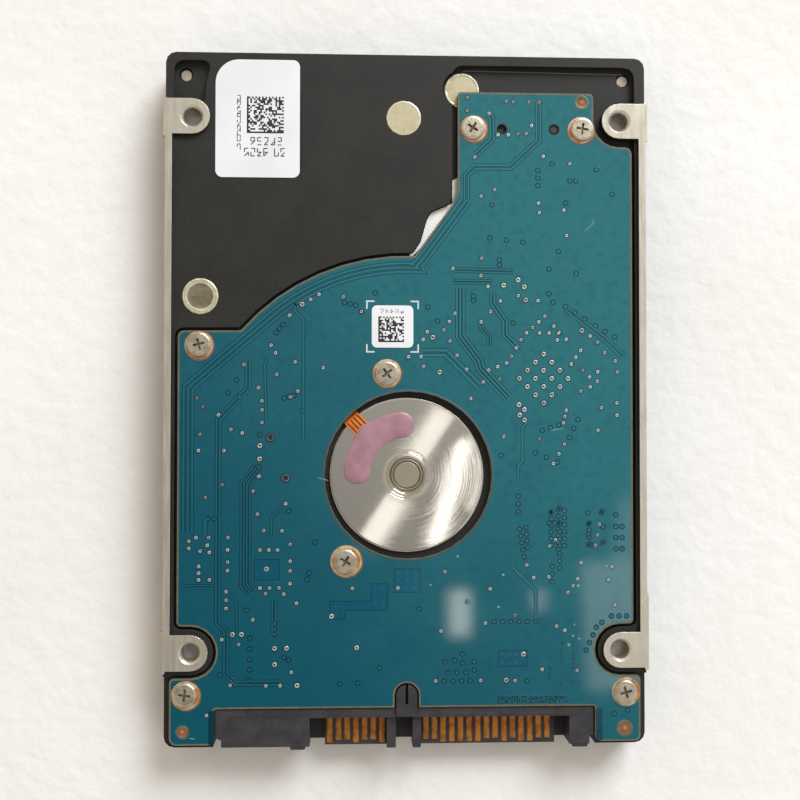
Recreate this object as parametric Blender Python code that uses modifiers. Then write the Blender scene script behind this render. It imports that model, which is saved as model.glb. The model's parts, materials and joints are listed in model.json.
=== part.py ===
"""Hard disk drive of the 2.5-inch size class, 7 mm thick, with one disc.

Millimetres are used for every named size below and become metres where a mesh is made.
The drive lies on its label side. +Z points out of the circuit board side, the connector
is at the -Y end, and the origin is under the middle of the drive on the label's plane.
"""

import math

import bmesh
import bpy
from mathutils import Matrix, Vector

MM = 0.001  # metres in a millimetre
FIT = 0.05  # gap between faces that touch on the real drive

# Overall size and mounting holes
WIDTH = 69.85
LENGTH = 100.0
HEIGHT = 7.0
WALL_X = 34.7  # outer face of the side walls, inside the mounting pads
WALL_TOP = LENGTH / 2
WALL_BOTTOM = -LENGTH / 2 + 0.3
LUG_X = 30.86
LUG_Y = (LENGTH / 2 - 9.4, -LENGTH / 2 + 14.0)
LUG_HALF = 2.55
RAIL_X = 33.7
M3_RADIUS = 1.25
M3_DEPTH = 2.6
SIDE_HOLE_DROP = 3.0  # side holes, measured from the mounting plane
SIDE_HOLE_DEPTH = 2.4

# Levels of the main layers, measured from the label's plane
LABEL_T = 0.1
COVER_Z = 0.13
COVER_T = 0.42
FLANGE_Z = 0.75
FLANGE_T = 0.4
RIM_Z = 1.45  # open edge of the casting, where the gasket sits
CAVITY_Z = 4.0  # inner floor above the disc
COIL_POCKET_Z = 4.6
RECESS_Z = 5.3  # casting floor under the circuit board
BOARD_Z = 5.65
BOARD_T = 0.8
DECK_Z = 6.35  # raised part of the casting beside the circuit board

# Spindle and actuator
SPINDLE = (0.0, -10.8)
DISC_RADIUS = 32.5
DISC_BORE = 10.0
DISC_Z = 2.55
DISC_T = 0.64
MOTOR_RADIUS = 11.15
STATOR_TEETH = 9
PIVOT = (8.0, 27.6)
PARKED = -46.8  # degrees, direction of the arms over the ramp
COIL_LEAD = 14.8  # degrees between the arms' line and the coil's
YOKE_START = 88  # degrees, the yoke's end nearest to the circuit board's arm
HEAD_REACH = 32.0
TAB_REACH = 33.6
LATCH = (-15.5, 27.0)

# Circuit board and what sits on or near it
BOARD_HOLE = 12.05
BOARD_HOLE_CENTRE = (0.2, -10.85)  # slightly off the spindle, as in the photo
LUG_CLEARANCE = 3.7
BOARD_ARC = 31.6  # edge that follows the disc's outline
BOARD_SCREWS = ((9.5, 39.45), (25.5, 39.45), (-29.8, 7.9), (-2.9, 3.8),
                (-8.8, -23.15), (-31.6, -42.0), (31.6, -42.1))
COVER_SCREWS = ((-31.95, 47.0), (31.75, 47.0), (-31.8, -47.25), (31.5, -47.3), (-31.8, 20.5), (31.8, 16.5))
TOOLING_HOLES = ((25.4, 43.35, 0.95), (-31.8, -47.25, 0.9), (31.5, -47.3, 0.95))
HEAD_PEGS = ((13.8, 39.4), (21.4, 39.4))
SEALS = ((-0.5, 40.8, 2.5, DECK_Z), (8.0, 45.15, 2.55, RECESS_Z + 0.15), (-29.65, 14.8, 2.6, DECK_Z))
CHIPS = {
    "controller_chip": (20.7, 3.0, 12.0, 12.0, 0.75),
    "motor_driver_chip": (-1.0, -30.5, 8.0, 8.0, 0.7),
    "memory_chip": (-22.0, -27.5, 8.0, 11.0, 0.8),
}

# Connector
CONTACT_Z = HEIGHT - 3.5
CONTACT_PITCH = 1.27
CONTACT_WIDTH = 0.85
FIRST_SIGNAL_X = -11.075
FIRST_POWER_X = 2.895
SIGNAL_LONG = (0, 3, 6)
POWER_LONG = (2, 3, 4, 5, 6, 9, 11, 12)
SHELL_LEFT = -27.3
SHELL_RIGHT = 27.0
SHELL_BACK = -44.2
WALL_BACK = -44.95  # casting wall behind the connector
MOUTH = -45.5  # where the tongues leave the shell
SHELL_Z = 1.5
SHELL_TOP = 6.2

COLOURS = {
    "coated_aluminium": ((0.05, 0.048, 0.045), 0.55, 0.3),
    "machined_aluminium": ((0.62, 0.58, 0.5), 0.35, 0.9),
    "stamped_steel": ((0.55, 0.55, 0.53), 0.35, 0.9),
    "screw_steel": ((0.5, 0.5, 0.5), 0.3, 1.0),
    "rubber": ((0.02, 0.02, 0.02), 0.8, 0.0),
    "paper": ((0.82, 0.83, 0.86), 0.6, 0.0),
    "foil": ((0.62, 0.58, 0.45), 0.4, 0.6),
    "board": ((0.02, 0.12, 0.15), 0.4, 0.0),
    "foam": ((0.8, 0.78, 0.7), 0.8, 0.0),
    "black_plastic": ((0.03, 0.03, 0.033), 0.5, 0.0),
    "contact_gold": ((0.6, 0.3, 0.1), 0.35, 0.9),
    "chip_epoxy": ((0.015, 0.015, 0.015), 0.6, 0.0),
    "flex_film": ((0.6, 0.2, 0.02), 0.4, 0.0),
    "pink_adhesive": ((0.55, 0.3, 0.4), 0.35, 0.0),
    "copper_wire": ((0.55, 0.2, 0.08), 0.4, 0.9),
    "core_steel": ((0.25, 0.25, 0.26), 0.45, 0.9),
    "magnet": ((0.5, 0.5, 0.5), 0.3, 1.0),
    "disc_mirror": ((0.75, 0.75, 0.76), 0.05, 1.0),
    "ramp_plastic": ((0.75, 0.72, 0.62), 0.5, 0.0),
    "filter_cloth": ((0.85, 0.85, 0.83), 0.9, 0.0),
}


# ---------------------------------------------------------------- scene

def empty_scene():
    for old in list(bpy.data.objects):
        bpy.data.objects.remove(old, do_unlink=True)


def new_collection(name):
    collection = bpy.data.collections.new(name)
    bpy.context.scene.collection.children.link(collection)
    return collection


def material(name):
    """The Principled material of that name, made on first use."""
    found = bpy.data.materials.get(name)
    if found:
        return found
    colour, roughness, metallic = COLOURS[name]
    made = bpy.data.materials.new(name)
    made.use_nodes = True
    made.diffuse_color = (*colour, 1)
    shader = made.node_tree.nodes["Principled BSDF"]
    shader.inputs["Base Color"].default_value = (*colour, 1)
    shader.inputs["Roughness"].default_value = roughness
    shader.inputs["Metallic"].default_value = metallic
    return made


empty_scene()
PARTS = new_collection("hard_disk_drive")
CUTTERS = new_collection("cutters")


# ---------------------------------------------------------------- outlines, in millimetres

ARC_STEP = 18  # degrees between an arc's points
FILLET_STEP = 30


def arc(centre, radius, start, end, steps=None):
    """Points along a circle from one angle in degrees to another, both ends included."""
    steps = steps or max(2, round(abs(end - start) / ARC_STEP))
    angles = (math.radians(start + (end - start) * i / steps) for i in range(steps + 1))
    return [(centre[0] + radius * math.cos(a), centre[1] + radius * math.sin(a)) for a in angles]


def circle(centre, radius, steps=16):
    return arc(centre, radius, 0, 360, steps)[:-1]


def rounded(corners):
    """A closed outline in which each corner (x, y, radius) becomes an arc; (x, y) stays sharp."""
    points = []
    for i, corner in enumerate(corners):
        here = Vector(corner[:2])
        radius = corner[2] if len(corner) > 2 else 0
        before = (Vector(corners[i - 1][:2]) - here).normalized()
        after = (Vector(corners[(i + 1) % len(corners)][:2]) - here).normalized()
        if not radius:
            points.append(tuple(here))
            continue
        half = before.angle(after) / 2
        middle = here + (before + after).normalized() * radius / math.sin(half)
        start = here + before * radius / math.tan(half) - middle
        turn = start.angle_signed(here + after * radius / math.tan(half) - middle)
        steps = max(1, round(abs(math.degrees(turn)) / FILLET_STEP))
        for step in range(steps + 1):
            points.append(tuple(middle + Matrix.Rotation(-turn * step / steps, 2) @ start))
    return points


def rectangle(x0, x1, y0, y1, radius=0.0):
    return rounded([(x0, y0, radius), (x1, y0, radius), (x1, y1, radius), (x0, y1, radius)])


def grown(points, distance):
    """A counterclockwise outline moved outwards by a distance, with mitred corners."""
    moved = []
    for i, point in enumerate(points):
        here = Vector(point)
        back = (here - Vector(points[i - 1])).normalized()
        ahead = (Vector(points[(i + 1) % len(points)]) - here).normalized()
        out_back = Vector((back.y, -back.x))
        out_ahead = Vector((ahead.y, -ahead.x))
        mitre = (out_back + out_ahead).normalized()
        moved.append(tuple(here + mitre * distance / max(0.5, mitre.dot(out_back))))
    return moved


def mirrored(points):
    """The outline on the other side of the drive, still counterclockwise."""
    return [(-x, y) for x, y in reversed(points)]


def sector(centre, inner, outer, start, end):
    """A piece of a ring between two angles."""
    return arc(centre, outer, start, end) + arc(centre, inner, end, start)


def turned_about(points, centre, degrees):
    spin = Matrix.Rotation(math.radians(degrees), 2)
    middle = Vector(centre)
    return [tuple(middle + spin @ (Vector(p) - middle)) for p in points]


def bar(centre, direction, start, end, start_width, end_width):
    """A tapered bar that runs out from a centre along a direction in degrees."""
    along = [(start, -start_width / 2), (end, -end_width / 2), (end, end_width / 2), (start, start_width / 2)]
    placed = [(centre[0] + x, centre[1] + y) for x, y in along]
    return turned_about(placed, centre, direction)


# ---------------------------------------------------------------- solids

def link(name, mesh, look, collection=None):
    made = bpy.data.objects.new(name, mesh)
    (collection or PARTS).objects.link(made)
    if look:
        mesh.materials.append(material(look))
    return made


def extruded(name, loops, low, high, look=None):
    """Flat outlines, none inside another, given a thickness between two levels."""
    curve = bpy.data.curves.new(name, "CURVE")
    curve.dimensions = "2D"
    curve.fill_mode = "BOTH"
    curve.extrude = (high - low) / 2 * MM
    for loop in loops:
        spline = curve.splines.new("POLY")
        spline.points.add(len(loop) - 1)
        for point, (x, y) in zip(spline.points, loop):
            point.co = (x * MM, y * MM, 0, 1)
        spline.use_cyclic_u = True
    flat = bpy.data.objects.new(name, curve)
    PARTS.objects.link(flat)
    bpy.context.view_layer.update()
    mesh = bpy.data.meshes.new_from_object(flat.evaluated_get(bpy.context.evaluated_depsgraph_get()))
    bpy.data.objects.remove(flat, do_unlink=True)
    bpy.data.curves.remove(curve)
    mesh.materials.clear()
    mesh.transform(Matrix.Translation((0, 0, (low + high) / 2 * MM)))
    close_ends(mesh)
    return link(name, mesh, look)


def close_ends(mesh):
    """Welds the ends to the sides and makes each end one face, which Booleans need."""
    work = bmesh.new()
    work.from_mesh(mesh)
    bmesh.ops.remove_doubles(work, verts=work.verts, dist=1e-6)
    levels = [vert.co.z for vert in work.verts]
    middle = (min(levels) + max(levels)) / 2
    ends = [face for face in work.faces if len({vert.co.z > middle for vert in face.verts}) == 1]
    bmesh.ops.dissolve_faces(work, faces=ends)
    bmesh.ops.recalc_face_normals(work, faces=work.faces)
    work.to_mesh(mesh)
    work.free()
    mesh.shade_smooth()
    mesh.set_sharp_from_angle(angle=math.radians(35))


def prism(name, outer, low, high, look=None, holes=()):
    """A flat outline with a thickness between two levels, and holes right through it."""
    body = extruded(name, [outer], low, high, look)
    if holes:
        cut(body, extruded(f"{name}_holes", holes, low - 1, high + 1))
    return body


def box(name, x0, x1, y0, y1, low, high, look=None):
    mesh = bpy.data.meshes.new(name)
    work = bmesh.new()
    bmesh.ops.create_cube(work, size=MM)
    bmesh.ops.scale(work, vec=(x1 - x0, y1 - y0, high - low), verts=work.verts)
    bmesh.ops.translate(work, vec=Vector((x0 + x1, y0 + y1, low + high)) / 2 * MM, verts=work.verts)
    work.to_mesh(mesh)
    work.free()
    return link(name, mesh, look)


def cylinder(name, centre, radius, low, high, look=None, segments=24):
    mesh = bpy.data.meshes.new(name)
    work = bmesh.new()
    bmesh.ops.create_cone(work, cap_ends=True, segments=segments, radius1=radius * MM, radius2=radius * MM,
                          depth=(high - low) * MM)
    bmesh.ops.translate(work, vec=Vector((*centre, (low + high) / 2)) * MM, verts=work.verts)
    work.to_mesh(mesh)
    work.free()
    mesh.shade_smooth()
    mesh.set_sharp_from_angle(angle=math.radians(35))
    return link(name, mesh, look)


def turned(name, centre, profile, look=None, segments=48):
    """A profile of (radius, level) points, top to bottom on its outer side, turned about +Z.

    A profile that starts and ends on the axis makes a solid; any other is closed into a ring.
    """
    mesh = bpy.data.meshes.new(name)
    ring = profile[0][0] > 0
    count = len(profile)
    edges = [(i, i + 1) for i in range(count - 1)] + ([(count - 1, 0)] if ring else [])
    mesh.from_pydata([(r * MM, 0, z * MM) for r, z in profile], edges, [])
    made = link(name, mesh, look)
    made.location = (centre[0] * MM, centre[1] * MM, 0)
    screw = made.modifiers.new("Turned", "SCREW")
    screw.axis = "Z"
    screw.steps = screw.render_steps = segments
    screw.use_smooth_shade = False
    screw.use_merge_vertices = True
    screw.merge_threshold = 1e-6
    return made


def hide_as_tool(tool):
    PARTS.objects.unlink(tool)
    CUTTERS.objects.link(tool)
    tool.hide_render = True
    tool.display_type = "WIRE"


def combine(body, tools, operation):
    for tool in tools:
        step = body.modifiers.new(tool.name, "BOOLEAN")
        step.operation = operation
        step.solver = "EXACT"
        step.object = tool
        hide_as_tool(tool)
    return body


def cut(body, *tools):
    return combine(body, tools, "DIFFERENCE")


def join(body, *tools):
    return combine(body, tools, "UNION")


def put_origin(made, centre, level=0.0):
    """Moves an object's origin to a joint's axis; the shape stays where it is."""
    place = Vector((*centre, level)) * MM
    made.data.transform(Matrix.Translation(made.matrix_world.translation - place))
    made.matrix_world = Matrix.Translation(place)
    return made


# ---------------------------------------------------------------- shared outlines

def board_outline(notch_fillet):
    """The circuit board's edge: an arm at the top right and arcs round the lugs and the disc."""
    right, bottom, top = 32.8, -49.15, 44.7
    foot = 33.8
    top_lug, low_lug = LUG_Y
    tab_top = 9.85
    neck = 7.35
    arc_end = math.degrees(math.atan2(tab_top - SPINDLE[1], -23.8))
    slot_half, slot_end = 1.75, -42.3
    notch_left, notch_right, notch_top = SHELL_LEFT - 0.12, SHELL_RIGHT + 0.2, SHELL_BACK + 0.15
    corners = [(notch_right, bottom, 0.9), (foot, bottom, 0.8), (foot, low_lug - LUG_CLEARANCE, 0.6)]
    corners += arc((LUG_X, low_lug), LUG_CLEARANCE, 270, 90)
    corners += [(right, low_lug + LUG_CLEARANCE, 0.6), (right, top_lug - LUG_CLEARANCE, 1.0)]
    corners += arc((LUG_X, top_lug), LUG_CLEARANCE, 270, 180)
    corners += [(LUG_X - LUG_CLEARANCE, top, 0.6), (neck, top, 0.4), (neck, 29.4, 4.0)]
    corners += arc(SPINDLE, BOARD_ARC, 88, arc_end, 8)
    corners += [(-right, tab_top, 0.8), (-right, low_lug + LUG_CLEARANCE, 0.6)]
    corners += arc((-LUG_X, low_lug), LUG_CLEARANCE, 90, -90)
    corners += [(-foot, low_lug - LUG_CLEARANCE, 0.6), (-foot, bottom, 1.0), (notch_left, bottom, 0.9)]
    corners += [(notch_left, notch_top, notch_fillet), (-slot_half, notch_top)]
    corners += arc((0, slot_end), slot_half, 180, 0)
    corners += [(slot_half, notch_top), (notch_right, notch_top, notch_fillet)]
    return rounded(corners)


def cavity_outline():
    """The inside of the casting: the disc's well, and the actuator's room beyond it."""
    side, wide, post, narrow, end = 32.9, 32.6, 28.8, 28.5, 48.0
    left_post, right_post = COVER_SCREWS[4][1], COVER_SCREWS[5][1]
    corners = arc(SPINDLE, 33.2, 172, 368, 20)
    corners += [(side, right_post - 3.9, 0.8), (post, right_post - 2.3, 1), (post, right_post + 2.3, 1)]
    corners += [(wide, right_post + 3.9, 1), (wide, 33.6, 1), (narrow, 36.2, 1), (narrow, end, 1.5)]
    corners += [(-narrow, end, 1.5), (-narrow, 36.2, 1), (-wide, 33.6, 1), (-wide, left_post + 3.9, 1)]
    corners += [(-post, left_post + 2.3, 1), (-post, left_post - 2.3, 1), (-side, left_post - 3.9, 0.8)]
    return rounded(corners)


def gap_beside_board():
    """The open wedge between the board's slanted edge and the raised deck."""
    return [(0.5, 20.4), (8.2, 28.0), (8.2, 33.0), (6.5, 32.0), (6.5, 28.7), (3.4, 27.3), (2.8, 26.2),
            (1.9, 23.0), (0.9, 21.5), (0.2, 21.2)]


def corner_pocket():
    """The sunken corner beside the deck's label, with the cover screw's tip in it."""
    return rounded([(-33.55, 42.9, 0.3), (-29.1, 42.9, 0.3), (-28.9, 45.6, 1.5), (-28.15, 48.85, 1.0),
                    (-33.55, 48.85, 1.4)])


BOARD = board_outline(0.3)
RECESS = grown(board_outline(0.6), 0.45)
CAVITY = cavity_outline()
CHIP_ROOM = 0.35


# ---------------------------------------------------------------- casting

def lug(side, y, number):
    """A mounting lug, round towards the middle, that grows out of the rail."""
    shape = [(WALL_X - 0.2, y - LUG_HALF), (WALL_X - 0.2, y + LUG_HALF)] + arc((LUG_X, y), LUG_HALF, 90, 270)
    if side < 0:
        shape = mirrored(shape)
    return prism(f"lug_{number}", shape, RECESS_Z - 1, HEIGHT)


def base_casting():
    base = prism("base_casting", rectangle(-WALL_X, WALL_X, WALL_BOTTOM, WALL_TOP, 1.5), RIM_Z, DECK_Z,
                 "coated_aluminium")
    over = HEIGHT + 1
    cut(base,
        prism("board_recess", RECESS, RECESS_Z, over),
        box("foot_recess", -40, 40, -60, -39.4, RECESS_Z, over),
        prism("right_pocket", rectangle(6.5, 33.2, 30, 48.6, 1.5), RECESS_Z, over),
        prism("left_pocket", corner_pocket(), RECESS_Z, over),
        prism("wedge_recess", gap_beside_board(), RECESS_Z, over),
        cylinder("seal_recess", SEALS[1][:2], 2.85, RECESS_Z, over),
        box("connector_notch", SHELL_LEFT - 0.4, SHELL_RIGHT + 0.4, -60, WALL_BACK, 0, over),
        prism("inside", CAVITY, 0, CAVITY_Z),
        prism("coil_pocket", sector(PIVOT, 7.5, 20.9, YOKE_START - 1.5, 181), 2, COIL_POCKET_Z),
        cylinder("motor_bore", SPINDLE, MOTOR_RADIUS + 2 * FIT, 2, over, segments=32),
        box("head_slot", 12.2, 23.0, 37.6, 41.2, 2, over))
    for name, (x, y, across, along, thick) in CHIPS.items():
        half_x, half_y = across / 2 + CHIP_ROOM, along / 2 + CHIP_ROOM
        cut(base, box(f"{name}_pocket", x - half_x, x + half_x, y - half_y, y + half_y,
                      BOARD_Z - thick - 0.2, over))
    number = 0
    for side in (-1, 1):
        rail_x = sorted((side * RAIL_X, side * WALL_X))
        join(base, box(f"rail_{side}", *rail_x, LUG_Y[1] - LUG_HALF, LUG_Y[0] + LUG_HALF, RECESS_Z, HEIGHT))
        for y in LUG_Y:
            number += 1
            pad_x = sorted((side * (WALL_X - 0.3), side * WIDTH / 2))
            low, high = (y - 2.9, y + 2.6) if y > 0 else (y - 2.9, y + (8.0 if side > 0 else 3.0))
            join(base, lug(side, y, number), box(f"pad_{number}", *pad_x, low, high, 1.8, HEIGHT))
    join(base, cylinder("seal_boss", SEALS[1][:2], 2.75, RECESS_Z - 0.3, RECESS_Z + 0.15))
    for i, place in enumerate(BOARD_SCREWS, 1):
        join(base, cylinder(f"board_boss_{i}", place, 1.9, RECESS_Z - 0.4, BOARD_Z - FIT, segments=14))
    return drill_casting(base)


def drill_casting(base):
    """Threaded holes, the lugs' chamfered holes and the side holes, and the holes under the seals."""
    for i, place in enumerate(BOARD_SCREWS, 1):
        cut(base, cylinder(f"board_thread_{i}", place, 0.6, 4.4, 8, segments=8))
    for i, place in enumerate(COVER_SCREWS, 1):
        top = 8 if i <= 4 else 5.0
        cut(base, cylinder(f"cover_thread_{i}", place, 1.02, 0, top, segments=12))
    for i, (x, y, _, _) in enumerate(SEALS, 1):
        cut(base, cylinder(f"test_hole_{i}", (x, y), 1.2, 3, 8, segments=10))
    number = 0
    for side in (-1, 1):
        for y in LUG_Y:
            number += 1
            place = (side * LUG_X, y)
            bore = [(0, 8), (M3_RADIUS + 0.5, 8), (M3_RADIUS + 0.5, HEIGHT + 0.1), (M3_RADIUS, HEIGHT - 0.4),
                    (M3_RADIUS, HEIGHT - M3_DEPTH), (0, HEIGHT - M3_DEPTH)]
            thread = turned(f"lug_thread_{number}", place, bore, segments=16)
            drill = cylinder(f"side_thread_{number}", (0, 0), M3_RADIUS, -1, SIDE_HOLE_DEPTH, segments=14)
            drill.rotation_euler = (0, -side * math.pi / 2, 0)
            drill.location = (side * WIDTH / 2 * MM, y * MM, (HEIGHT - SIDE_HOLE_DROP) * MM)
            cut(base, thread, drill)
    return base


# ---------------------------------------------------------------- cover side

def top_cover():
    """A stamped sheet: a raised middle, a lower flange for the screws and a dimple for the pivot."""
    edge = rectangle(-WALL_X + 0.3, WALL_X - 0.3, WALL_BOTTOM + 0.15, WALL_TOP - 0.15, 1.4)
    cover = prism("top_cover", edge, FLANGE_Z, FLANGE_Z + FLANGE_T, "stamped_steel")
    raised = grown(CAVITY, 0.55)
    join(cover, prism("cover_plateau", raised, COVER_Z, FLANGE_Z + FLANGE_T - 0.1))
    cut(cover, prism("cover_hollow", grown(raised, -0.5), COVER_Z + COVER_T, 3))
    join(cover, cylinder("pivot_dimple", PIVOT, 3.7, COVER_Z + 0.2, FLANGE_Z + FLANGE_T, segments=32))
    cut(cover, cylinder("dimple_well", PIVOT, 3.2, -1, FLANGE_Z, segments=32),
        cylinder("pivot_hole", PIVOT, 0.9, -1, 3, segments=12))
    for i, place in enumerate(COVER_SCREWS, 1):
        cut(cover, cylinder(f"cover_hole_{i}", place, 1.2, -1, 3, segments=12))
    return cover


def cover_gasket():
    return prism("cover_gasket", grown(CAVITY, 0.8), FLANGE_Z + FLANGE_T + 0.03, RIM_Z - 0.03, "rubber",
                 [grown(CAVITY, 0.15)])


def cover_label():
    shape = rounded([(-27, -28, 2.5), (27, -28, 2.5), (27, 45, 2.5), (-27, 45, 2.5)])
    return prism("cover_label", shape, 0, LABEL_T, "paper", [circle(PIVOT, 3.5)])


def star_recess(name, centre, radius, low, high):
    """The six-lobed hole of a screw head."""
    points = []
    for i in range(12):
        angle = math.tau * i / 12
        reach = radius * (1.16 if i % 2 else 0.84)
        points.append((centre[0] + reach * math.cos(angle), centre[1] + reach * math.sin(angle)))
    return prism(name, points, low, high)


def star_screw(name, centre, head_radius, head_low, head_high, shank_radius, tip):
    """A screw driven from the cover side: its head faces -Z."""
    edge = 0.12
    profile = [(0, tip), (shank_radius, tip), (shank_radius, head_high), (head_radius, head_high),
               (head_radius, head_low + edge), (head_radius - edge, head_low), (0, head_low)]
    screw = turned(name, centre, profile, "screw_steel", segments=12)
    return cut(screw, star_recess(f"{name}_drive", centre, head_radius * 0.45, head_low - 1,
                                  head_high - 0.12))


def cover_screws():
    for i, place in enumerate(COVER_SCREWS, 1):
        star_screw(f"cover_screw_{i}", place, 1.9, 0.22, FLANGE_Z - 0.03, 0.92, 4.9)


# ---------------------------------------------------------------- board side

def board_insulator():
    """The foam sheet between casting and board, open at the chips, the motor and the screws."""
    shape = prism("board_insulator", grown(BOARD, -0.2), RECESS_Z + 0.03, BOARD_Z - FIT, "foam")
    low, high = RECESS_Z - 1, BOARD_Z + 1
    join(shape, prism("foam_wedge", grown(gap_beside_board(), -0.12), RECESS_Z + 0.03, BOARD_Z - FIT))
    cut(shape, cylinder("foam_motor", SPINDLE, BOARD_HOLE + 0.4, low, high, segments=32),
        box("foam_foot", -40, 40, -60, -39, low, high),
        box("foam_head", 11.9, 23.3, 37.3, 41.5, low, high),
        cylinder("foam_seal", SEALS[1][:2], 3.0, low, high))
    for name, (x, y, across, along, _) in CHIPS.items():
        half_x, half_y = across / 2 + CHIP_ROOM, along / 2 + CHIP_ROOM
        cut(shape, box(f"foam_{name}", x - half_x, x + half_x, y - half_y, y + half_y, low, high))
    for i, place in enumerate(BOARD_SCREWS, 1):
        cut(shape, cylinder(f"foam_boss_{i}", place, 2.15, low, high, segments=12))
    cut(shape, prism("foam_flex", bar(SPINDLE, 134.5, 11, 16.2, 3.2, 3.2), low, high))
    return shape


def circuit_board():
    holes = [circle(BOARD_HOLE_CENTRE, BOARD_HOLE, 36)]
    holes += [circle(place, 0.75, 8) for place in BOARD_SCREWS]
    holes += [circle((x, y), radius, 12) for x, y, radius in TOOLING_HOLES]
    holes += [circle(place, 0.72, 10) for place in HEAD_PEGS]
    return prism("circuit_board", BOARD, BOARD_Z, BOARD_Z + BOARD_T, "board", holes)


def chips():
    for name, (x, y, across, along, thick) in CHIPS.items():
        box(name, x - across / 2, x + across / 2, y - along / 2, y + along / 2,
            BOARD_Z - 0.03 - thick, BOARD_Z - 0.03, "chip_epoxy")


def board_screws():
    """Pan head screws, each with its cross recess turned a different way."""
    head_low = BOARD_Z + BOARD_T + 0.03
    head_high = HEIGHT - 0.1
    for i, place in enumerate(BOARD_SCREWS, 1):
        profile = [(0, head_high), (1.4, head_high - 0.04), (1.7, head_high - 0.2), (1.7, head_low),
                   (0.5, head_low), (0.5, 4.5), (0, 4.5)]
        screw = turned(f"board_screw_{i}", place, profile, "screw_steel", segments=14)
        slots = []
        for turn in (0, 90):
            slot = bar(place, 35 + 23 * i + turn, -0.85, 0.85, 0.34, 0.34)
            slots.append(prism(f"cross_{i}_{turn}", slot, head_high - 0.28, 8))
        cut(screw, *slots)


def labels_and_seals():
    corners = [(-27.6, 31.95, 1.0), (-15.5, 31.95, 1.0), (-15.5, 49.0, 1.0), (-27.6, 49.0, 3.0)]
    prism("base_label", rounded(corners), DECK_Z + 0.03, DECK_Z + 0.11, "paper")
    top = BOARD_Z + BOARD_T
    prism("board_label", rectangle(-5.1, 0.9, 7.5, 13.6, 0.5), top + 0.03, top + 0.1, "paper")
    for i, (x, y, radius, level) in enumerate(SEALS, 1):
        cylinder(f"hole_seal_{i}", (x, y), radius, level + 0.03, level + 0.11, "foil", segments=20)


# ---------------------------------------------------------------- connector

def connector_housing():
    """The shell, with two tongues for the contacts, keyed walls between them and guide posts."""
    end = -LENGTH / 2
    block_end = end + 0.45
    shell = box("connector_housing", SHELL_LEFT, SHELL_RIGHT, end, WALL_BACK - FIT, SHELL_Z, SHELL_TOP,
                "black_plastic")
    join(shell, box("shell_ledge", SHELL_LEFT, SHELL_RIGHT, WALL_BACK - 1, SHELL_BACK, RECESS_Z + FIT,
                    SHELL_TOP))
    low, high = SHELL_Z - 1, SHELL_TOP + 1
    left, right, tongue_t = -13.9, 23.5, 1.23
    notch_y, notch_low = -48.3, 2.2
    cut(shell, box("mouth_above", left, right, -60, MOUTH, CONTACT_Z, high),
        box("mouth_below", left, right, -60, MOUTH, low, CONTACT_Z - tongue_t),
        box("mouth_left", left, -11.75, -60, MOUTH, low, high),
        box("mouth_key", -1.53, 0.88, -60, MOUTH, low, high),
        box("mouth_right", 21.75, right, -60, MOUTH, low, high),
        box("left_block_end", SHELL_LEFT - 1, left, -60, block_end, low, high),
        box("right_block_end", right, SHELL_RIGHT + 1, -60, block_end, low, high),
        box("left_notch", SHELL_LEFT - 1, SHELL_LEFT + 0.85, -60, notch_y, notch_low, high),
        box("right_notch", SHELL_RIGHT - 0.6, SHELL_RIGHT + 1, -60, notch_y, notch_low, high),
        box("contact_groove", left + 1.5, 21.4, MOUTH - 0.5, MOUTH + 0.3, CONTACT_Z, CONTACT_Z + 0.22))
    key_top = CONTACT_Z + 2.2
    post_low, post_high = 2.0, SHELL_TOP - 0.1
    flange_top = FLANGE_Z + FLANGE_T
    join(shell, box("shell_floor", SHELL_LEFT + 0.5, SHELL_RIGHT - 0.5, block_end, WALL_BACK - FIT,
                    flange_top + FIT, SHELL_Z + 0.1))
    left_post = rounded([(-14.6, end), (-14.0, -48.5), (-17.0, -48.5), (-16.6, end)][::-1])
    right_post = rounded([(26.1, end), (26.35, -48.5), (23.55, -48.5), (24.0, end)])
    join(shell, box("signal_key", -2.82, -1.53, end + 0.05, MOUTH + 0.2, CONTACT_Z - 0.6, key_top),
         box("power_key", 0.88, 2.06, end + 0.05, MOUTH + 0.2, CONTACT_Z - 0.6, key_top),
         prism("left_post", left_post, post_low, post_high),
         prism("right_post", right_post, post_low, post_high))
    peg = [(-1.5, WALL_BACK - 0.4), (1.5, WALL_BACK - 0.4)] + arc((0, -42.3), 1.5, 0, 180)
    join(shell, prism("board_peg", peg, RECESS_Z + FIT, SHELL_TOP + 0.35))
    cut(shell, box("peg_slit", -0.18, 0.18, -43.6, -40, RECESS_Z - 1, high))
    return shell


def contact_row(name, first_x, count, long_ones):
    """A row of contact strips on the tongue, tied by a bar inside the shell's groove."""
    low, high = CONTACT_Z + 0.03, CONTACT_Z + 0.15
    half = CONTACT_WIDTH / 2
    last_x = first_x + (count - 1) * CONTACT_PITCH
    root, back = MOUTH - 0.15, MOUTH + 0.22
    points = [(last_x + half, back), (first_x - half, back)]
    for i in range(count):
        x = first_x + i * CONTACT_PITCH
        tip = -49.75 if i in long_ones else -49.35
        points += [(x - half, root), (x - half, tip), (x + half, tip), (x + half, root)]
    return prism(name, points, low, high, "contact_gold")


# ---------------------------------------------------------------- spindle motor

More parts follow.
